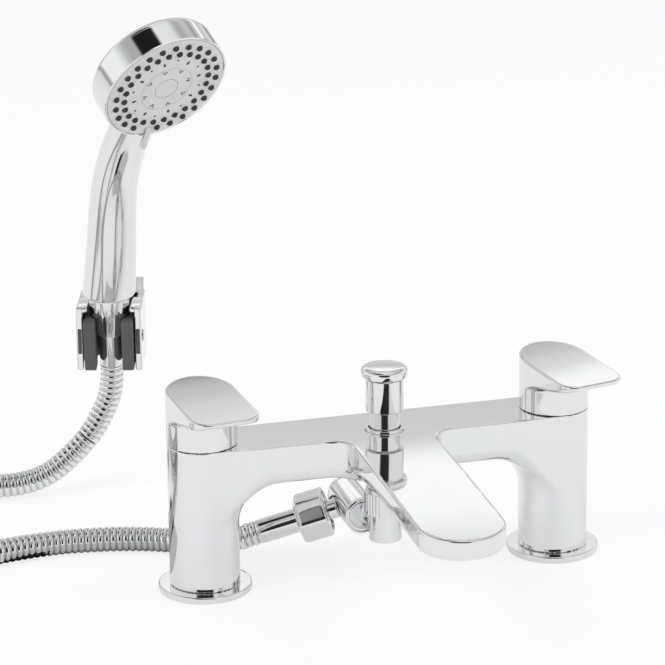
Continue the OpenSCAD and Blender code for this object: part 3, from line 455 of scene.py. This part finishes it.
# Diverter knob: turned brass, chrome plated, screwed on the rod. Its cap is pulled up to send water to the hose;
# the narrow lower sleeve slides in a collar that is screwed into the bridge.
def in_metres(place):
    """A 4 x 4 with its shift in mm as a matrix in metres."""
    put = Matrix(place.tolist())
    put.translation /= 1000
    return put


def turned_piece(name, profile, place, edge, sides=96):
    """A ring drawn out along a profile of (radius, height) points in mm, as on a lathe, with broken edges."""
    bpy.ops.object.select_all(action="DESELECT")
    bpy.ops.mesh.primitive_circle_add(vertices=sides, radius=profile[0][0] / 1000,
                                      location=(0, 0, profile[0][1] / 1000))
    piece = bpy.context.object
    piece.name = piece.data.name = name
    bpy.ops.object.transform_apply(location=True)
    bpy.ops.object.mode_set(mode="EDIT")
    bpy.ops.mesh.select_mode(type="EDGE")
    bpy.ops.mesh.select_all(action="SELECT")
    for (ra, za), (rb, zb) in zip(profile, profile[1:]):
        bpy.ops.mesh.extrude_region_move(TRANSFORM_OT_translate={"value": (0, 0, (zb - za) / 1000)})
        bpy.ops.transform.resize(value=(rb / ra, rb / ra, 1), center_override=(0, 0, zb / 1000))
    bpy.ops.mesh.select_all(action="SELECT")
    bpy.ops.mesh.remove_doubles(threshold=1e-7)
    bpy.ops.mesh.fill_holes(sides=0)
    bpy.ops.mesh.select_all(action="SELECT")
    bpy.ops.mesh.normals_make_consistent(inside=False)
    bpy.ops.object.mode_set(mode="OBJECT")
    if edge:
        bpy.ops.object.modifier_add(type="BEVEL")
        bevel = piece.modifiers[-1]
        bevel.width = edge / 1000
        bevel.segments = 4
        bevel.limit_method = "ANGLE"
        bevel.angle_limit = math.radians(40)
        bevel.use_clamp_overlap = False
        bpy.ops.object.modifier_apply(modifier=bevel.name)
    bpy.ops.object.shade_smooth_by_angle(angle=math.radians(32))
    piece.matrix_world = in_metres(place)
    bpy.ops.object.transform_apply(location=True, rotation=True, scale=True)
    return piece


knob = turned_piece("diverter_pull", [
    (3.1, 69.5), (7.5, 69.5), (7.5, 86), (9.5, 86.3), (9.5, 102.6), (9.9, 103), (10.6, 103.2), (11.3, 103.9),
    (11.5, 104.8), (11.5, 106.2), (11.35, 107), (10.8, 107.75), (9.8, 108.25), (8.2, 108.45), (0.5, 108.5)],
    moved(0, valve_y, 0), 0.35)
knob.data.materials.append(chrome)
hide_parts("diverter_knob")
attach(knob, "diverter")
machined("diverter_collar", 0.4, chrome)

# Aerator: a plated ring screwed into the spout's tip from below, with a pale plastic insert that mixes in air.
# Only its lower edge stands out of the spout.
moulded_grain = shader_group("moulded_grain", (
    ("Tint", "Color", "INPUT"), ("Gloss", "Float", "INPUT"), ("Color", "Color", "OUTPUT"),
    ("Roughness", "Float", "OUTPUT"), ("Height", "Float", "OUTPUT")))
g = moulded_grain.nodes
grain_in, grain_out = g.new("NodeGroupInput"), g.new("NodeGroupOutput")
grain_place = g.new("ShaderNodeTexCoord")
grain_cloud, grain_fine = g.new("ShaderNodeTexNoise"), g.new("ShaderNodeTexNoise")
grain_cloud.inputs["Scale"].default_value = 60
grain_fine.inputs["Scale"].default_value = 1400
grain_mix = g.new("ShaderNodeMixRGB")
grain_mix.blend_type = "MULTIPLY"
grain_mix.inputs[0].default_value = 0.12
grain_gloss = g.new("ShaderNodeMath")
grain_gloss.operation = "MULTIPLY_ADD"
grain_gloss.inputs[1].default_value = 0.16
link = moulded_grain.links.new
link(grain_place.outputs["Object"], grain_cloud.inputs["Vector"])
link(grain_place.outputs["Object"], grain_fine.inputs["Vector"])
link(grain_in.outputs["Tint"], grain_mix.inputs[1])
link(grain_cloud.outputs["Fac"], grain_mix.inputs[2])
link(grain_mix.outputs[0], grain_out.inputs["Color"])
link(grain_fine.outputs["Fac"], grain_gloss.inputs[0])
link(grain_in.outputs["Gloss"], grain_gloss.inputs[2])
link(grain_gloss.outputs[0], grain_out.inputs["Roughness"])
link(grain_fine.outputs["Fac"], grain_out.inputs["Height"])


def moulded(name, tint, rough, bump):
    """A moulded plastic or rubber: colour that varies a little, a fine skin and uneven gloss."""
    mat = bpy.data.materials.new(name)
    mat.use_nodes = True
    nodes, links = mat.node_tree.nodes, mat.node_tree.links
    bsdf = nodes["Principled BSDF"]
    grain = nodes.new("ShaderNodeGroup")
    grain.node_tree = moulded_grain
    grain.inputs["Tint"].default_value = (*tint, 1)
    grain.inputs["Gloss"].default_value = rough
    skin = nodes.new("ShaderNodeBump")
    skin.inputs["Strength"].default_value = bump
    skin.inputs["Distance"].default_value = 0.0002
    links.new(grain.outputs["Color"], bsdf.inputs["Base Color"])
    links.new(grain.outputs["Roughness"], bsdf.inputs["Roughness"])
    links.new(grain.outputs["Height"], skin.inputs["Height"])
    links.new(skin.outputs["Normal"], bsdf.inputs["Normal"])
    return mat


white_plastic = moulded("white_plastic", (0.85, 0.85, 0.83), 0.35, 0.1)
machined("aerator_housing", 0.4, chrome)
machined("aerator_insert", 0.15, white_plastic)

# Shower outlet: a knurled locknut and a plated elbow under the bridge. The elbow's lying housing holds the check
# valve, shows a grooved ring at its front and is closed by a cap behind; the hose screws on at its side.
machined("outlet_locknut", 0.18, chrome, 2)
machined("outlet_elbow", 0.5, chrome)
machined("elbow_cap", 0.5, chrome)
ring = turned_piece("housing_ring", [
    (9.25, 0), (9.25, 1.5), (8.5, 1.9), (8.3, 1.9), (8.0, 0.5), (7.3, 0.5), (7.1, 1.7), (6.5, 1.7), (6.1, 0.2),
    (0.4, 0.2)], moved(hose_from[0], 2.75, hose_from[2]) @ spun("X", 90), 0.15)
ring.data.materials.append(chrome)
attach(ring, "mixer")


nut_flat_r, nut_corner_r, nut_near, nut_far = 11.5, 12.7, 12.95, 28.85


def nut_field(x, y, z):
    """The hose nut's depth field: a hexagon with turned corners, a threaded socket and the ferrule's bore."""
    turns, reach = np.arctan2(y, x), np.hypot(x, y)
    flat = reach * np.cos((turns + math.pi / 6) % (math.pi / 3) - math.pi / 6) - nut_flat_r
    d = soft_meet(reach - nut_corner_r, flat, 0.35)
    d = soft_meet(d, nut_near - z, 1.6)
    d = soft_meet(d, z - nut_far, 2.6)
    d = soft_meet(d, -np.maximum(reach - 10.45, z - 24.5), 0.3)
    return soft_meet(d, -(reach - 6.35), 0.3)


at_hose = moved(*hose_from) @ spun("Z", outlet_turn) @ spun("Y", 90 + outlet_fall)
nut = cast_mesh("milled_nut", nut_field, (-14, -14, 12), (14, 14, 30), 0.45, at_hose)
nut.data.materials.append(chrome)
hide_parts("hose_nut")
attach(nut, "mixer")
machined("hose_ferrule", 0.4, chrome)

# Wall bracket: a plated fork on a wall plate, two pivot pins and a dark grey cradle that tilts between the
# cheeks. The cheeks have dark slots at the front where the friction pads sit.
plated_plastic = plated("plated_plastic", (0.80, 0.805, 0.81), 0.05)
dark_plastic = moulded("dark_plastic", (0.115, 0.117, 0.12), 0.50, 0.25)
steel = plated("steel", (0.60, 0.60, 0.60), 0.35)
machined("bracket_fork", 0.8, plated_plastic)
machined("wall_plate", 0.8, plated_plastic)
machined("pivot_pins", 0.3, steel)
at_bracket = moved(*bracket_at) @ spun("Z", bracket_turn)
at_cradle = at_bracket @ spun("X", cradle_lean)


def block(name, low, high, edge, place, thin_end=0.0):
    """A moulded block between two corners in mm, with rounded edges; its back end may slope down by some mm."""
    bpy.ops.object.select_all(action="DESELECT")
    mid = [(a + b) / 2000 for a, b in zip(low, high)]
    bpy.ops.mesh.primitive_cube_add(size=1, location=mid, scale=[(b - a) / 1000 for a, b in zip(low, high)])
    piece = bpy.context.object
    piece.name = piece.data.name = name
    bpy.ops.object.transform_apply(location=True, rotation=True, scale=True)
    bpy.ops.object.mode_set(mode="EDIT")
    bpy.ops.mesh.select_mode(type="VERT")
    bpy.ops.mesh.select_all(action="DESELECT")
    bpy.ops.object.mode_set(mode="OBJECT")
    for vert in piece.data.vertices:
        vert.select = vert.co.y * 1000 > high[1] - 0.01 and vert.co.z * 1000 > high[2] - 0.01
    bpy.ops.object.mode_set(mode="EDIT")
    bpy.ops.transform.translate(value=(0, 0, -thin_end / 1000))
    bpy.ops.mesh.select_all(action="SELECT")
    bpy.ops.mesh.bevel(offset=edge / 1000, segments=4, affect="EDGES")
    bpy.ops.object.mode_set(mode="OBJECT")
    bpy.ops.object.shade_smooth_by_angle(angle=math.radians(35))
    piece.matrix_world = in_metres(place)
    bpy.ops.object.transform_apply(location=True, rotation=True, scale=True)
    return piece


for name, x in (("cheek_slot_left", -15.1), ("cheek_slot_right", 15.1)):
    slot_piece = block(name, (x - 1.0, -10.15, -7), (x + 1.0, -8.5, 6.6), 0.14, at_bracket)
    slot_piece.data.materials.append(dark_plastic)
    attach(slot_piece, "mixer")

for name, low_x, high_x in (("shoulder_left", -16.8, -10.9), ("shoulder_right", 10.9, 16.8)):
    shoulder = block(name, (low_x, -9.8, 14.9), (high_x, 9.0, 18.2), 1.1, at_bracket)
    shoulder.data.materials.append(plated_plastic)
    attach(shoulder, "mixer")


cradle_r, bar_reach, slot_half = 12.8, 13.6, 6.8


def cradle_field(x, y, z):
    """The cradle's depth field: a ring with two bars to the front, the cone's seat and the slot for the hose."""
    ring = np.hypot(x, y) - cradle_r
    bars = soft_meet(np.abs(x) - cradle_r, np.maximum(-bar_reach - y, y), 0.8)
    d = soft_meet(np.minimum(ring, bars), np.maximum(z - 13, -14 - z), 0.8)
    seat_r = 8.15 + np.maximum(z - 2, 0) * 2.5 / 14
    d = soft_meet(d, -(np.hypot(x, y) - seat_r), 0.3)
    return soft_meet(d, -np.maximum(np.abs(x) - slot_half, y), 0.5)


cradle = cast_mesh("cradle_moulding", cradle_field, (-14, -15, -15), (14, 14, 14), 0.5, at_cradle)
cradle.data.materials.append(dark_plastic)
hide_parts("cradle")
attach(cradle, "cradle")

# Hose end: a plated ferrule and a cone nut that is screwed on the handset's spigot; the cone seats in the cradle.
machined("cone_ferrule", 0.3, chrome)
machined("cone_nut", 0.5, chrome)

# Handset: a moulded shell, chrome plated. The grip thins towards a bend and runs up the back of a round head,
# whose rim stands round the turning spray face.
head_fwd, head_up, head_tilt, handset_turn = 73, 164, 25.5, 32
head_r, head_depth, face_back = 32.5, 17, 6.2
tilt_cos, tilt_sin = 0.90259, 0.43051
at_handset = at_cradle @ spun("Z", handset_turn)
at_head = at_handset @ moved(0, -head_fwd, head_up) @ spun("X", 90 + head_tilt)
grip_line = np.polyfit([10.7, 30, 50, 70, 90, 104, 120, 138, 157],
                       [2, -1.4, -4.9, -8.4, -12.6, -18, -28.5, -41.4, -54.9], 5)
grip_bend = np.polyder(grip_line)
grip_round = np.polyfit([15, 40, 70, 95, 115, 157], [13.9, 13.3, 12.2, 11.4, 11.0, 10.7], 3)


def handset_field(x, y, z):
    """The shell's depth field: a bent round grip with a flat foot, joined to the disc of the head."""
    zc = np.clip(z, 10, 160)
    lean = np.sqrt(1 + np.polyval(grip_bend, zc) ** 2)
    grip = np.hypot(x, (y - np.polyval(grip_line, zc)) / lean) - np.polyval(grip_round, zc)
    grip = soft_meet(grip, 24.7 - z, 1.2)
    out = -tilt_cos * (y + head_fwd) - tilt_sin * (z - head_up)
    up = -tilt_sin * (y + head_fwd) + tilt_cos * (z - head_up)
    across_face = np.hypot(x, up)
    grip = soft_meet(grip, up - 2, 8.0)
    grip = np.maximum(grip, out + 6 - np.clip(122 - z, 0, 90))
    head = soft_meet(soft_meet(across_face - head_r, out + face_back, 0.5), -head_depth - out, 4.0)
    return soft_union(grip, head, 7.0)


shell = cast_mesh("handset_casting", handset_field, (-36, -90, 23), (36, 18, 204), 0.8, at_handset)
shell.data.materials.append(plated_plastic)
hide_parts("handset_shell")
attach(shell, "handset")
rim = turned_piece("head_rim", [
    (31.4, -6.0), (31.4, -0.25), (31.65, 0), (32.2, 0), (32.55, -0.35), (32.55, -0.55), (32.55, -0.75),
    (32.55, -12.2), (32.55, -12.6), (32.45, -12.8)], at_head, 0.0, 160)
rim.data.materials.append(plated_plastic)
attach(rim, "handset")

# Spray face: a pale grey moulded plate that turns in the head, with an engraved circle, fine holes, a thumb tab
# at its lower edge, two staggered rings of dark rubber nozzles and a plain cap in the middle.
pale_plastic = moulded("pale_plastic", (0.80, 0.81, 0.82), 0.30, 0.08)
# This dark rubber serves the real nozzles and seals, and also the painted shade of the face's holes.
rubber_and_hole_shade = moulded("rubber_and_hole_shade", (0.035, 0.035, 0.038), 0.5, 0.3)
plate = turned_piece("spray_plate", [
    (0.5, -5.8), (31.25, -5.8), (31.25, -0.3), (30.75, 0.2), (29.6, 0.35), (14.0, 0.7), (13.8, 0.35), (13.3, 0.35),
    (13.1, 0.72), (6.3, 0.8), (6.1, 0.2), (0.5, 0.2)], at_head, 0.0, 128)
plate.data.materials.append(pale_plastic)
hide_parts("spray_face")
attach(plate, "spray_face")
machined("face_cap", 0.35, pale_plastic)

tab = block("thumb_tab", (-1.75, -38.8, 0.3), (1.75, -26, 3.2), 0.6, at_head @ spun("Z", -10), thin_end=2.2)
tab.data.materials.append(pale_plastic)
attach(tab, "spray_face")


def ring_of(first, name, spots, place):
    """Copies of one piece, each with its own mesh, at (radius, degrees) spots of the face, joined to one."""
    copies = []
    for radius, degrees in spots:
        twin = first.copy()
        twin.data = first.data.copy()
        bpy.context.scene.collection.objects.link(twin)
        twin.data.transform(in_metres(place @ spun("Z", degrees) @ moved(radius, 0, 0)))
        copies.append(twin)
    bpy.data.objects.remove(first)
    bpy.ops.object.select_all(action="DESELECT")
    for twin in copies:
        twin.select_set(True)
    bpy.context.view_layer.objects.active = copies[0]
    bpy.ops.object.join()
    joined = bpy.context.object
    joined.name = joined.data.name = name
    return joined


outer_ring, inner_ring, nozzle_count, under_tab = 27.1, 22.6, 24, 17
nozzle_gap = 360 / nozzle_count
nozzle = turned_piece("nozzle", [
    (1.6, 0), (1.6, 0.7), (1.5, 1.0), (1.3, 1.35), (1.1, 1.5), (0.7, 1.5), (0.6, 1.2)], np.eye(4), 0.0, 14)
nozzle_spots = [(outer_ring, nozzle_gap * i) for i in range(nozzle_count) if i != under_tab]
nozzle_spots += [(inner_ring, nozzle_gap * (i + 0.5)) for i in range(nozzle_count)]
nozzles = ring_of(nozzle, "rubber_nozzles", nozzle_spots, at_head)
nozzles.data.materials.append(rubber_and_hole_shade)
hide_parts("spray_nozzles")
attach(nozzles, "spray_face")

# Painted shade: the fine and wide holes are not cut. Each is a thin dark disc standing on the face, and its dark
# colour stands for the shade inside a hole.
hole = turned_piece("hole", [(0.5, 0.5), (0.5, 0.78), (0.3, 0.76)], np.eye(4), 0.0, 10)
spots = [(11.0, 45 * i + 14) for i in range(8)] + [(12.1, 45 * i + 18) for i in range(8)]
spots += [(12.0, 45 * i + 10.5) for i in range(8)] + [(18.6, 45 * i + 36) for i in range(8)]
holes = ring_of(hole, "fine_hole_shade", spots, at_head)
holes.data.materials.append(rubber_and_hole_shade)
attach(holes, "spray_face")
slit = turned_piece("slit", [(0.85, 0.3), (0.85, 0.72), (0.6, 0.7)], np.eye(4), 0.0, 12)
slit.data.transform(Matrix.Diagonal((1.35, 0.8, 1, 1)))
slits = ring_of(slit, "wide_hole_shade", [(17.4, 45 * i + 14) for i in range(8)], at_head)
slits.data.materials.append(rubber_and_hole_shade)
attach(slits, "spray_face")

# Tie of the put-away hose: a black plastic strap drawn round the coil's left side and closed on itself.
tie_corner, tie_thick = 0.0045, 0.0009
tie_low, tie_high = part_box("hose_tie")
bpy.ops.object.select_all(action="DESELECT")
bpy.ops.mesh.primitive_cube_add(size=1, location=[(a + b) / 2 for a, b in zip(tie_low, tie_high)],
                                scale=[b - a for a, b in zip(tie_low, tie_high)])
tie = bpy.context.object
tie.name = tie.data.name = "coil_strap"
bpy.ops.object.transform_apply(location=True, rotation=True, scale=True)
bpy.ops.object.mode_set(mode="EDIT")
bpy.ops.mesh.select_mode(type="FACE")
bpy.ops.mesh.select_all(action="DESELECT")
bpy.ops.object.mode_set(mode="OBJECT")
for face in tie.data.polygons:
    face.select = abs(face.normal.y) > 0.5
bpy.ops.object.mode_set(mode="EDIT")
bpy.ops.mesh.delete(type="ONLY_FACE")
bpy.ops.mesh.select_mode(type="EDGE")
bpy.ops.mesh.select_all(action="DESELECT")
bpy.ops.object.mode_set(mode="OBJECT")
for edge in tie.data.edges:
    a, b = (tie.data.vertices[i].co for i in edge.vertices)
    edge.select = abs(a.y - b.y) > 0.001
bpy.ops.object.mode_set(mode="EDIT")
bpy.ops.mesh.bevel(offset=tie_corner, segments=6, affect="EDGES")
bpy.ops.object.mode_set(mode="OBJECT")
bpy.ops.object.modifier_add(type="SOLIDIFY")
tie.modifiers[-1].thickness = tie_thick
tie.modifiers[-1].offset = -1
bpy.ops.object.modifier_apply(modifier=tie.modifiers[-1].name)
bpy.ops.object.shade_smooth_by_angle(angle=math.radians(35))
tie.data.materials.append(dark_plastic)
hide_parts("hose_tie")
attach(tie, "mixer")

# Works inside and below the deck: brass tails with pipe thread, backnuts and cartridges, ceramic discs, rubber
# seals, moulded washers and valves, steel screws. Most are hidden, and the tails hang under the deck.
def bright_brass(name, thread):
    """Turned brass: lathe marks round the axis, and a thread where the pitch in mm is given."""
    mat = bpy.data.materials.new(name)
    mat.use_nodes = True
    nodes, links = mat.node_tree.nodes, mat.node_tree.links
    bsdf = nodes["Principled BSDF"]
    bsdf.inputs["Metallic"].default_value = 1.0
    wear = nodes.new("ShaderNodeGroup")
    wear.node_tree = plate_wear
    wear.inputs["Tint"].default_value = (0.76, 0.58, 0.30, 1)
    wear.inputs["Smudge"].default_value = 0.42
    place = nodes.new("ShaderNodeTexCoord")
    wave = nodes.new("ShaderNodeTexWave")
    wave.bands_direction = "Z"
    wave.inputs["Scale"].default_value = math.pi / (10 * thread / 1000)
    wave.inputs["Distortion"].default_value = 0.0
    bump = nodes.new("ShaderNodeBump")
    bump.inputs["Strength"].default_value = 0.9 if thread > 1 else 0.25
    bump.inputs["Distance"].default_value = thread / 2500
    links.new(place.outputs["Object"], wave.inputs["Vector"])
    links.new(wave.outputs["Fac"], bump.inputs["Height"])
    links.new(bump.outputs["Normal"], bsdf.inputs["Normal"])
    links.new(wear.outputs["Color"], bsdf.inputs["Base Color"])
    links.new(wear.outputs["Roughness"], bsdf.inputs["Roughness"])
    return mat


brass = bright_brass("brass", 0.35)
thread_brass = bright_brass("thread_brass", 1.8)
ceramic = moulded("ceramic", (0.90, 0.89, 0.85), 0.12, 0.02)
red_plastic = moulded("red_plastic", (0.62, 0.03, 0.03), 0.22, 0.05)
blue_plastic = moulded("blue_plastic", (0.03, 0.10, 0.55), 0.22, 0.05)
for finish, width, nodes_of_finish in (
        (thread_brass, 0.5, ("hot_tail", "cold_tail")),
        (brass, 0.5, ("backnuts", "hot_cartridge", "cold_cartridge", "hot_spindle", "cold_spindle",
                      "diverter_rod")),
        (rubber_and_hole_shade, 0.3, ("hot_base_seal", "cold_base_seal", "diverter_o_ring", "diverter_valve", "hose_washer",
                       "cone_washer")),
        (white_plastic, 0.3, ("fixing_washers", "check_valve", "inlet_spigot", "distributor")),
        (ceramic, 0.15, ("hot_fixed_disc", "cold_fixed_disc", "hot_moving_disc", "cold_moving_disc")),
        (steel, 0.2, ("hot_grub_screw", "cold_grub_screw", "wall_screws")),
        (red_plastic, 0.3, ("hot_index",)),
        (blue_plastic, 0.3, ("cold_index",))):
    for node in nodes_of_finish:
        machined(node, width, finish, 2)

# Studio: a white floor that runs back out of sight, a pale room that is brighter above than behind, and soft
# boxes to the left and right. Two cards on the floor and two dark patches of the room show in the metal alone.
bpy.ops.object.select_all(action="DESELECT")
bpy.ops.mesh.primitive_plane_add(size=9, location=(0, 0, 0))
floor = bpy.context.object
floor.name = floor.data.name = "floor"
floor_mat = bpy.data.materials.new("floor_paper")
floor_mat.use_nodes = True
floor_nodes, floor_links = floor_mat.node_tree.nodes, floor_mat.node_tree.links
floor_bsdf = floor_nodes["Principled BSDF"]
floor_bsdf.inputs["Roughness"].default_value = 0.9
floor_bsdf.inputs["Specular IOR Level"].default_value = 0.1
floor_place = floor_nodes.new("ShaderNodeTexCoord")
floor_cloud = floor_nodes.new("ShaderNodeTexNoise")
floor_cloud.inputs["Scale"].default_value = 3
floor_ramp = floor_nodes.new("ShaderNodeValToRGB")
floor_ramp.color_ramp.elements[0].color = (0.955, 0.955, 0.955, 1)
floor_ramp.color_ramp.elements[1].color = (0.975, 0.975, 0.975, 1)
floor_links.new(floor_place.outputs["Object"], floor_cloud.inputs["Vector"])
floor_links.new(floor_cloud.outputs["Fac"], floor_ramp.inputs["Fac"])
floor_links.new(floor_ramp.outputs["Color"], floor_bsdf.inputs["Base Color"])
floor_seen = floor_nodes.new("ShaderNodeLightPath")
floor_metal, floor_share = floor_nodes.new("ShaderNodeMath"), floor_nodes.new("ShaderNodeMath")
floor_metal.operation, floor_share.operation = "MULTIPLY", "MULTIPLY_ADD"
floor_metal.inputs[1].default_value = 0.5
floor_share.inputs[1].default_value = 0.8
floor_links.new(floor_seen.outputs["Is Glossy Ray"], floor_metal.inputs[0])
floor_links.new(floor_seen.outputs["Is Camera Ray"], floor_share.inputs[0])
floor_links.new(floor_metal.outputs[0], floor_share.inputs[2])
floor_white = floor_nodes.new("ShaderNodeEmission")
floor_both = floor_nodes.new("ShaderNodeMixShader")
floor_links.new(floor_share.outputs[0], floor_both.inputs["Fac"])
floor_links.new(floor_bsdf.outputs["BSDF"], floor_both.inputs[1])
floor_links.new(floor_white.outputs["Emission"], floor_both.inputs[2])
floor_links.new(floor_both.outputs["Shader"], floor_nodes["Material Output"].inputs["Surface"])
floor.data.materials.append(floor_mat)

for name, mid, size, level in (("grey_card", (-0.13, 0.062, 0.0006), (0.10, 0.085, 1), 0.62),
                               ("dark_card", (-0.172, 0.08, 0.0010), (0.030, 0.050, 1), 0.03)):
    bpy.ops.mesh.primitive_plane_add(size=1, location=mid)
    card = bpy.context.object
    card.scale = size
    card.name = card.data.name = name
    bpy.ops.object.transform_apply(location=True, rotation=True, scale=True)
    card_mat = bpy.data.materials.new(name)
    card_mat.use_nodes = True
    card_bsdf = card_mat.node_tree.nodes["Principled BSDF"]
    card_bsdf.inputs["Base Color"].default_value = (level, level, level, 1)
    card_bsdf.inputs["Roughness"].default_value = 0.9
    card.data.materials.append(card_mat)
    card.visible_camera = card.visible_diffuse = card.visible_shadow = False

world = bpy.data.worlds.new("pale_room")
bpy.context.scene.world = world
world.use_nodes = True
wn, wl = world.node_tree.nodes, world.node_tree.links
room = wn["Background"]
way = wn.new("ShaderNodeTexCoord")
split = wn.new("ShaderNodeSeparateXYZ")
wl.new(way.outputs["Generated"], split.inputs["Vector"])


def room_ramp(levels):
    """The room's grey over the height of a direction, as (height, level) steps from floor to ceiling."""
    ramp = wn.new("ShaderNodeValToRGB")
    ramp.color_ramp.interpolation = "EASE"
    ends = ramp.color_ramp.elements
    for end, (at, level) in zip((ends[0], ends[1]), (levels[0], levels[-1])):
        end.position, end.color = at, (level, level, level, 1)
    for at, level in levels[1:-1]:
        ramp.color_ramp.elements.new(at).color = (level, level, level, 1)
    wl.new(split.outputs["Z"], ramp.inputs["Fac"])
    return ramp.outputs["Color"]


def nearness(toward, far, near):
    """How close a direction comes to another: 0 at the cosine far, 1 at the cosine near."""
    dot = wn.new("ShaderNodeVectorMath")
    dot.operation = "DOT_PRODUCT"
    dot.inputs[1].default_value = toward
    wl.new(way.outputs["Generated"], dot.inputs[0])
    share = wn.new("ShaderNodeMapRange")
    share.interpolation_type = "SMOOTHSTEP"
    share.inputs["From Min"].default_value = far
    share.inputs["From Max"].default_value = near
    wl.new(dot.outputs["Value"], share.inputs["Value"])
    return share.outputs["Result"]


def room_mix(share, under):
    """A mix node over one colour of the room, by a share."""
    mix = wn.new("ShaderNodeMixRGB")
    wl.new(share, mix.inputs[0])
    wl.new(under, mix.inputs[1])
    return mix


banded = room_ramp(((0.0, 0.35), (0.08, 0.45), (0.15, 0.85), (0.31, 0.66), (0.345, 0.74), (0.40, 1.18),
                    (0.432, 1.18), (0.455, 0.84), (0.50, 0.66), (0.58, 0.36), (0.66, 0.70), (0.78, 1.15),
                    (1.0, 1.15)))
plain = room_ramp(((0.0, 0.45), (0.08, 1.05), (0.40, 1.05), (0.72, 0.50), (0.84, 0.50), (0.95, 0.95), (1.0, 0.95)))
walls = room_mix(nearness((0.28, 0.96, 0), 0.45, 0.75), plain)
wl.new(banded, walls.inputs[2])
seen = walls
for toward, outer, inner, tint in (((-0.2488, -0.9062, 0.342), 30, 22, (0.03, 0.03, 0.032, 1)),
                                   ((-0.309, 0.016, 0.951), 18, 13, (0.015, 0.015, 0.016, 1))):
    share = nearness(toward, math.cos(math.radians(outer)), math.cos(math.radians(inner)))
    seen = room_mix(share, seen.outputs[0])
    seen.inputs[2].default_value = tint
wl.new(seen.outputs[0], room.inputs["Color"])

for name, place, aim, side, power in (("soft_box_left", (-1.3, -0.5, 1.5), (-0.05, 0, 0.08), 1.1, 14),
                                      ("soft_box_right", (1.2, -0.3, 1.3), (0, 0, 0.08), 0.8, 7)):
    lamp = bpy.data.objects.new(name, bpy.data.lights.new(name, "AREA"))
    lamp.data.size = side
    lamp.data.energy = power
    lamp.visible_glossy = False
    facing = (Vector(aim) - Vector(place)).to_track_quat("-Z", "Y").to_matrix().to_4x4()
    lamp.matrix_world = Matrix.Translation(place) @ facing
    bpy.context.scene.collection.objects.link(lamp)
bpy.context.scene.view_settings.view_transform = "Standard"
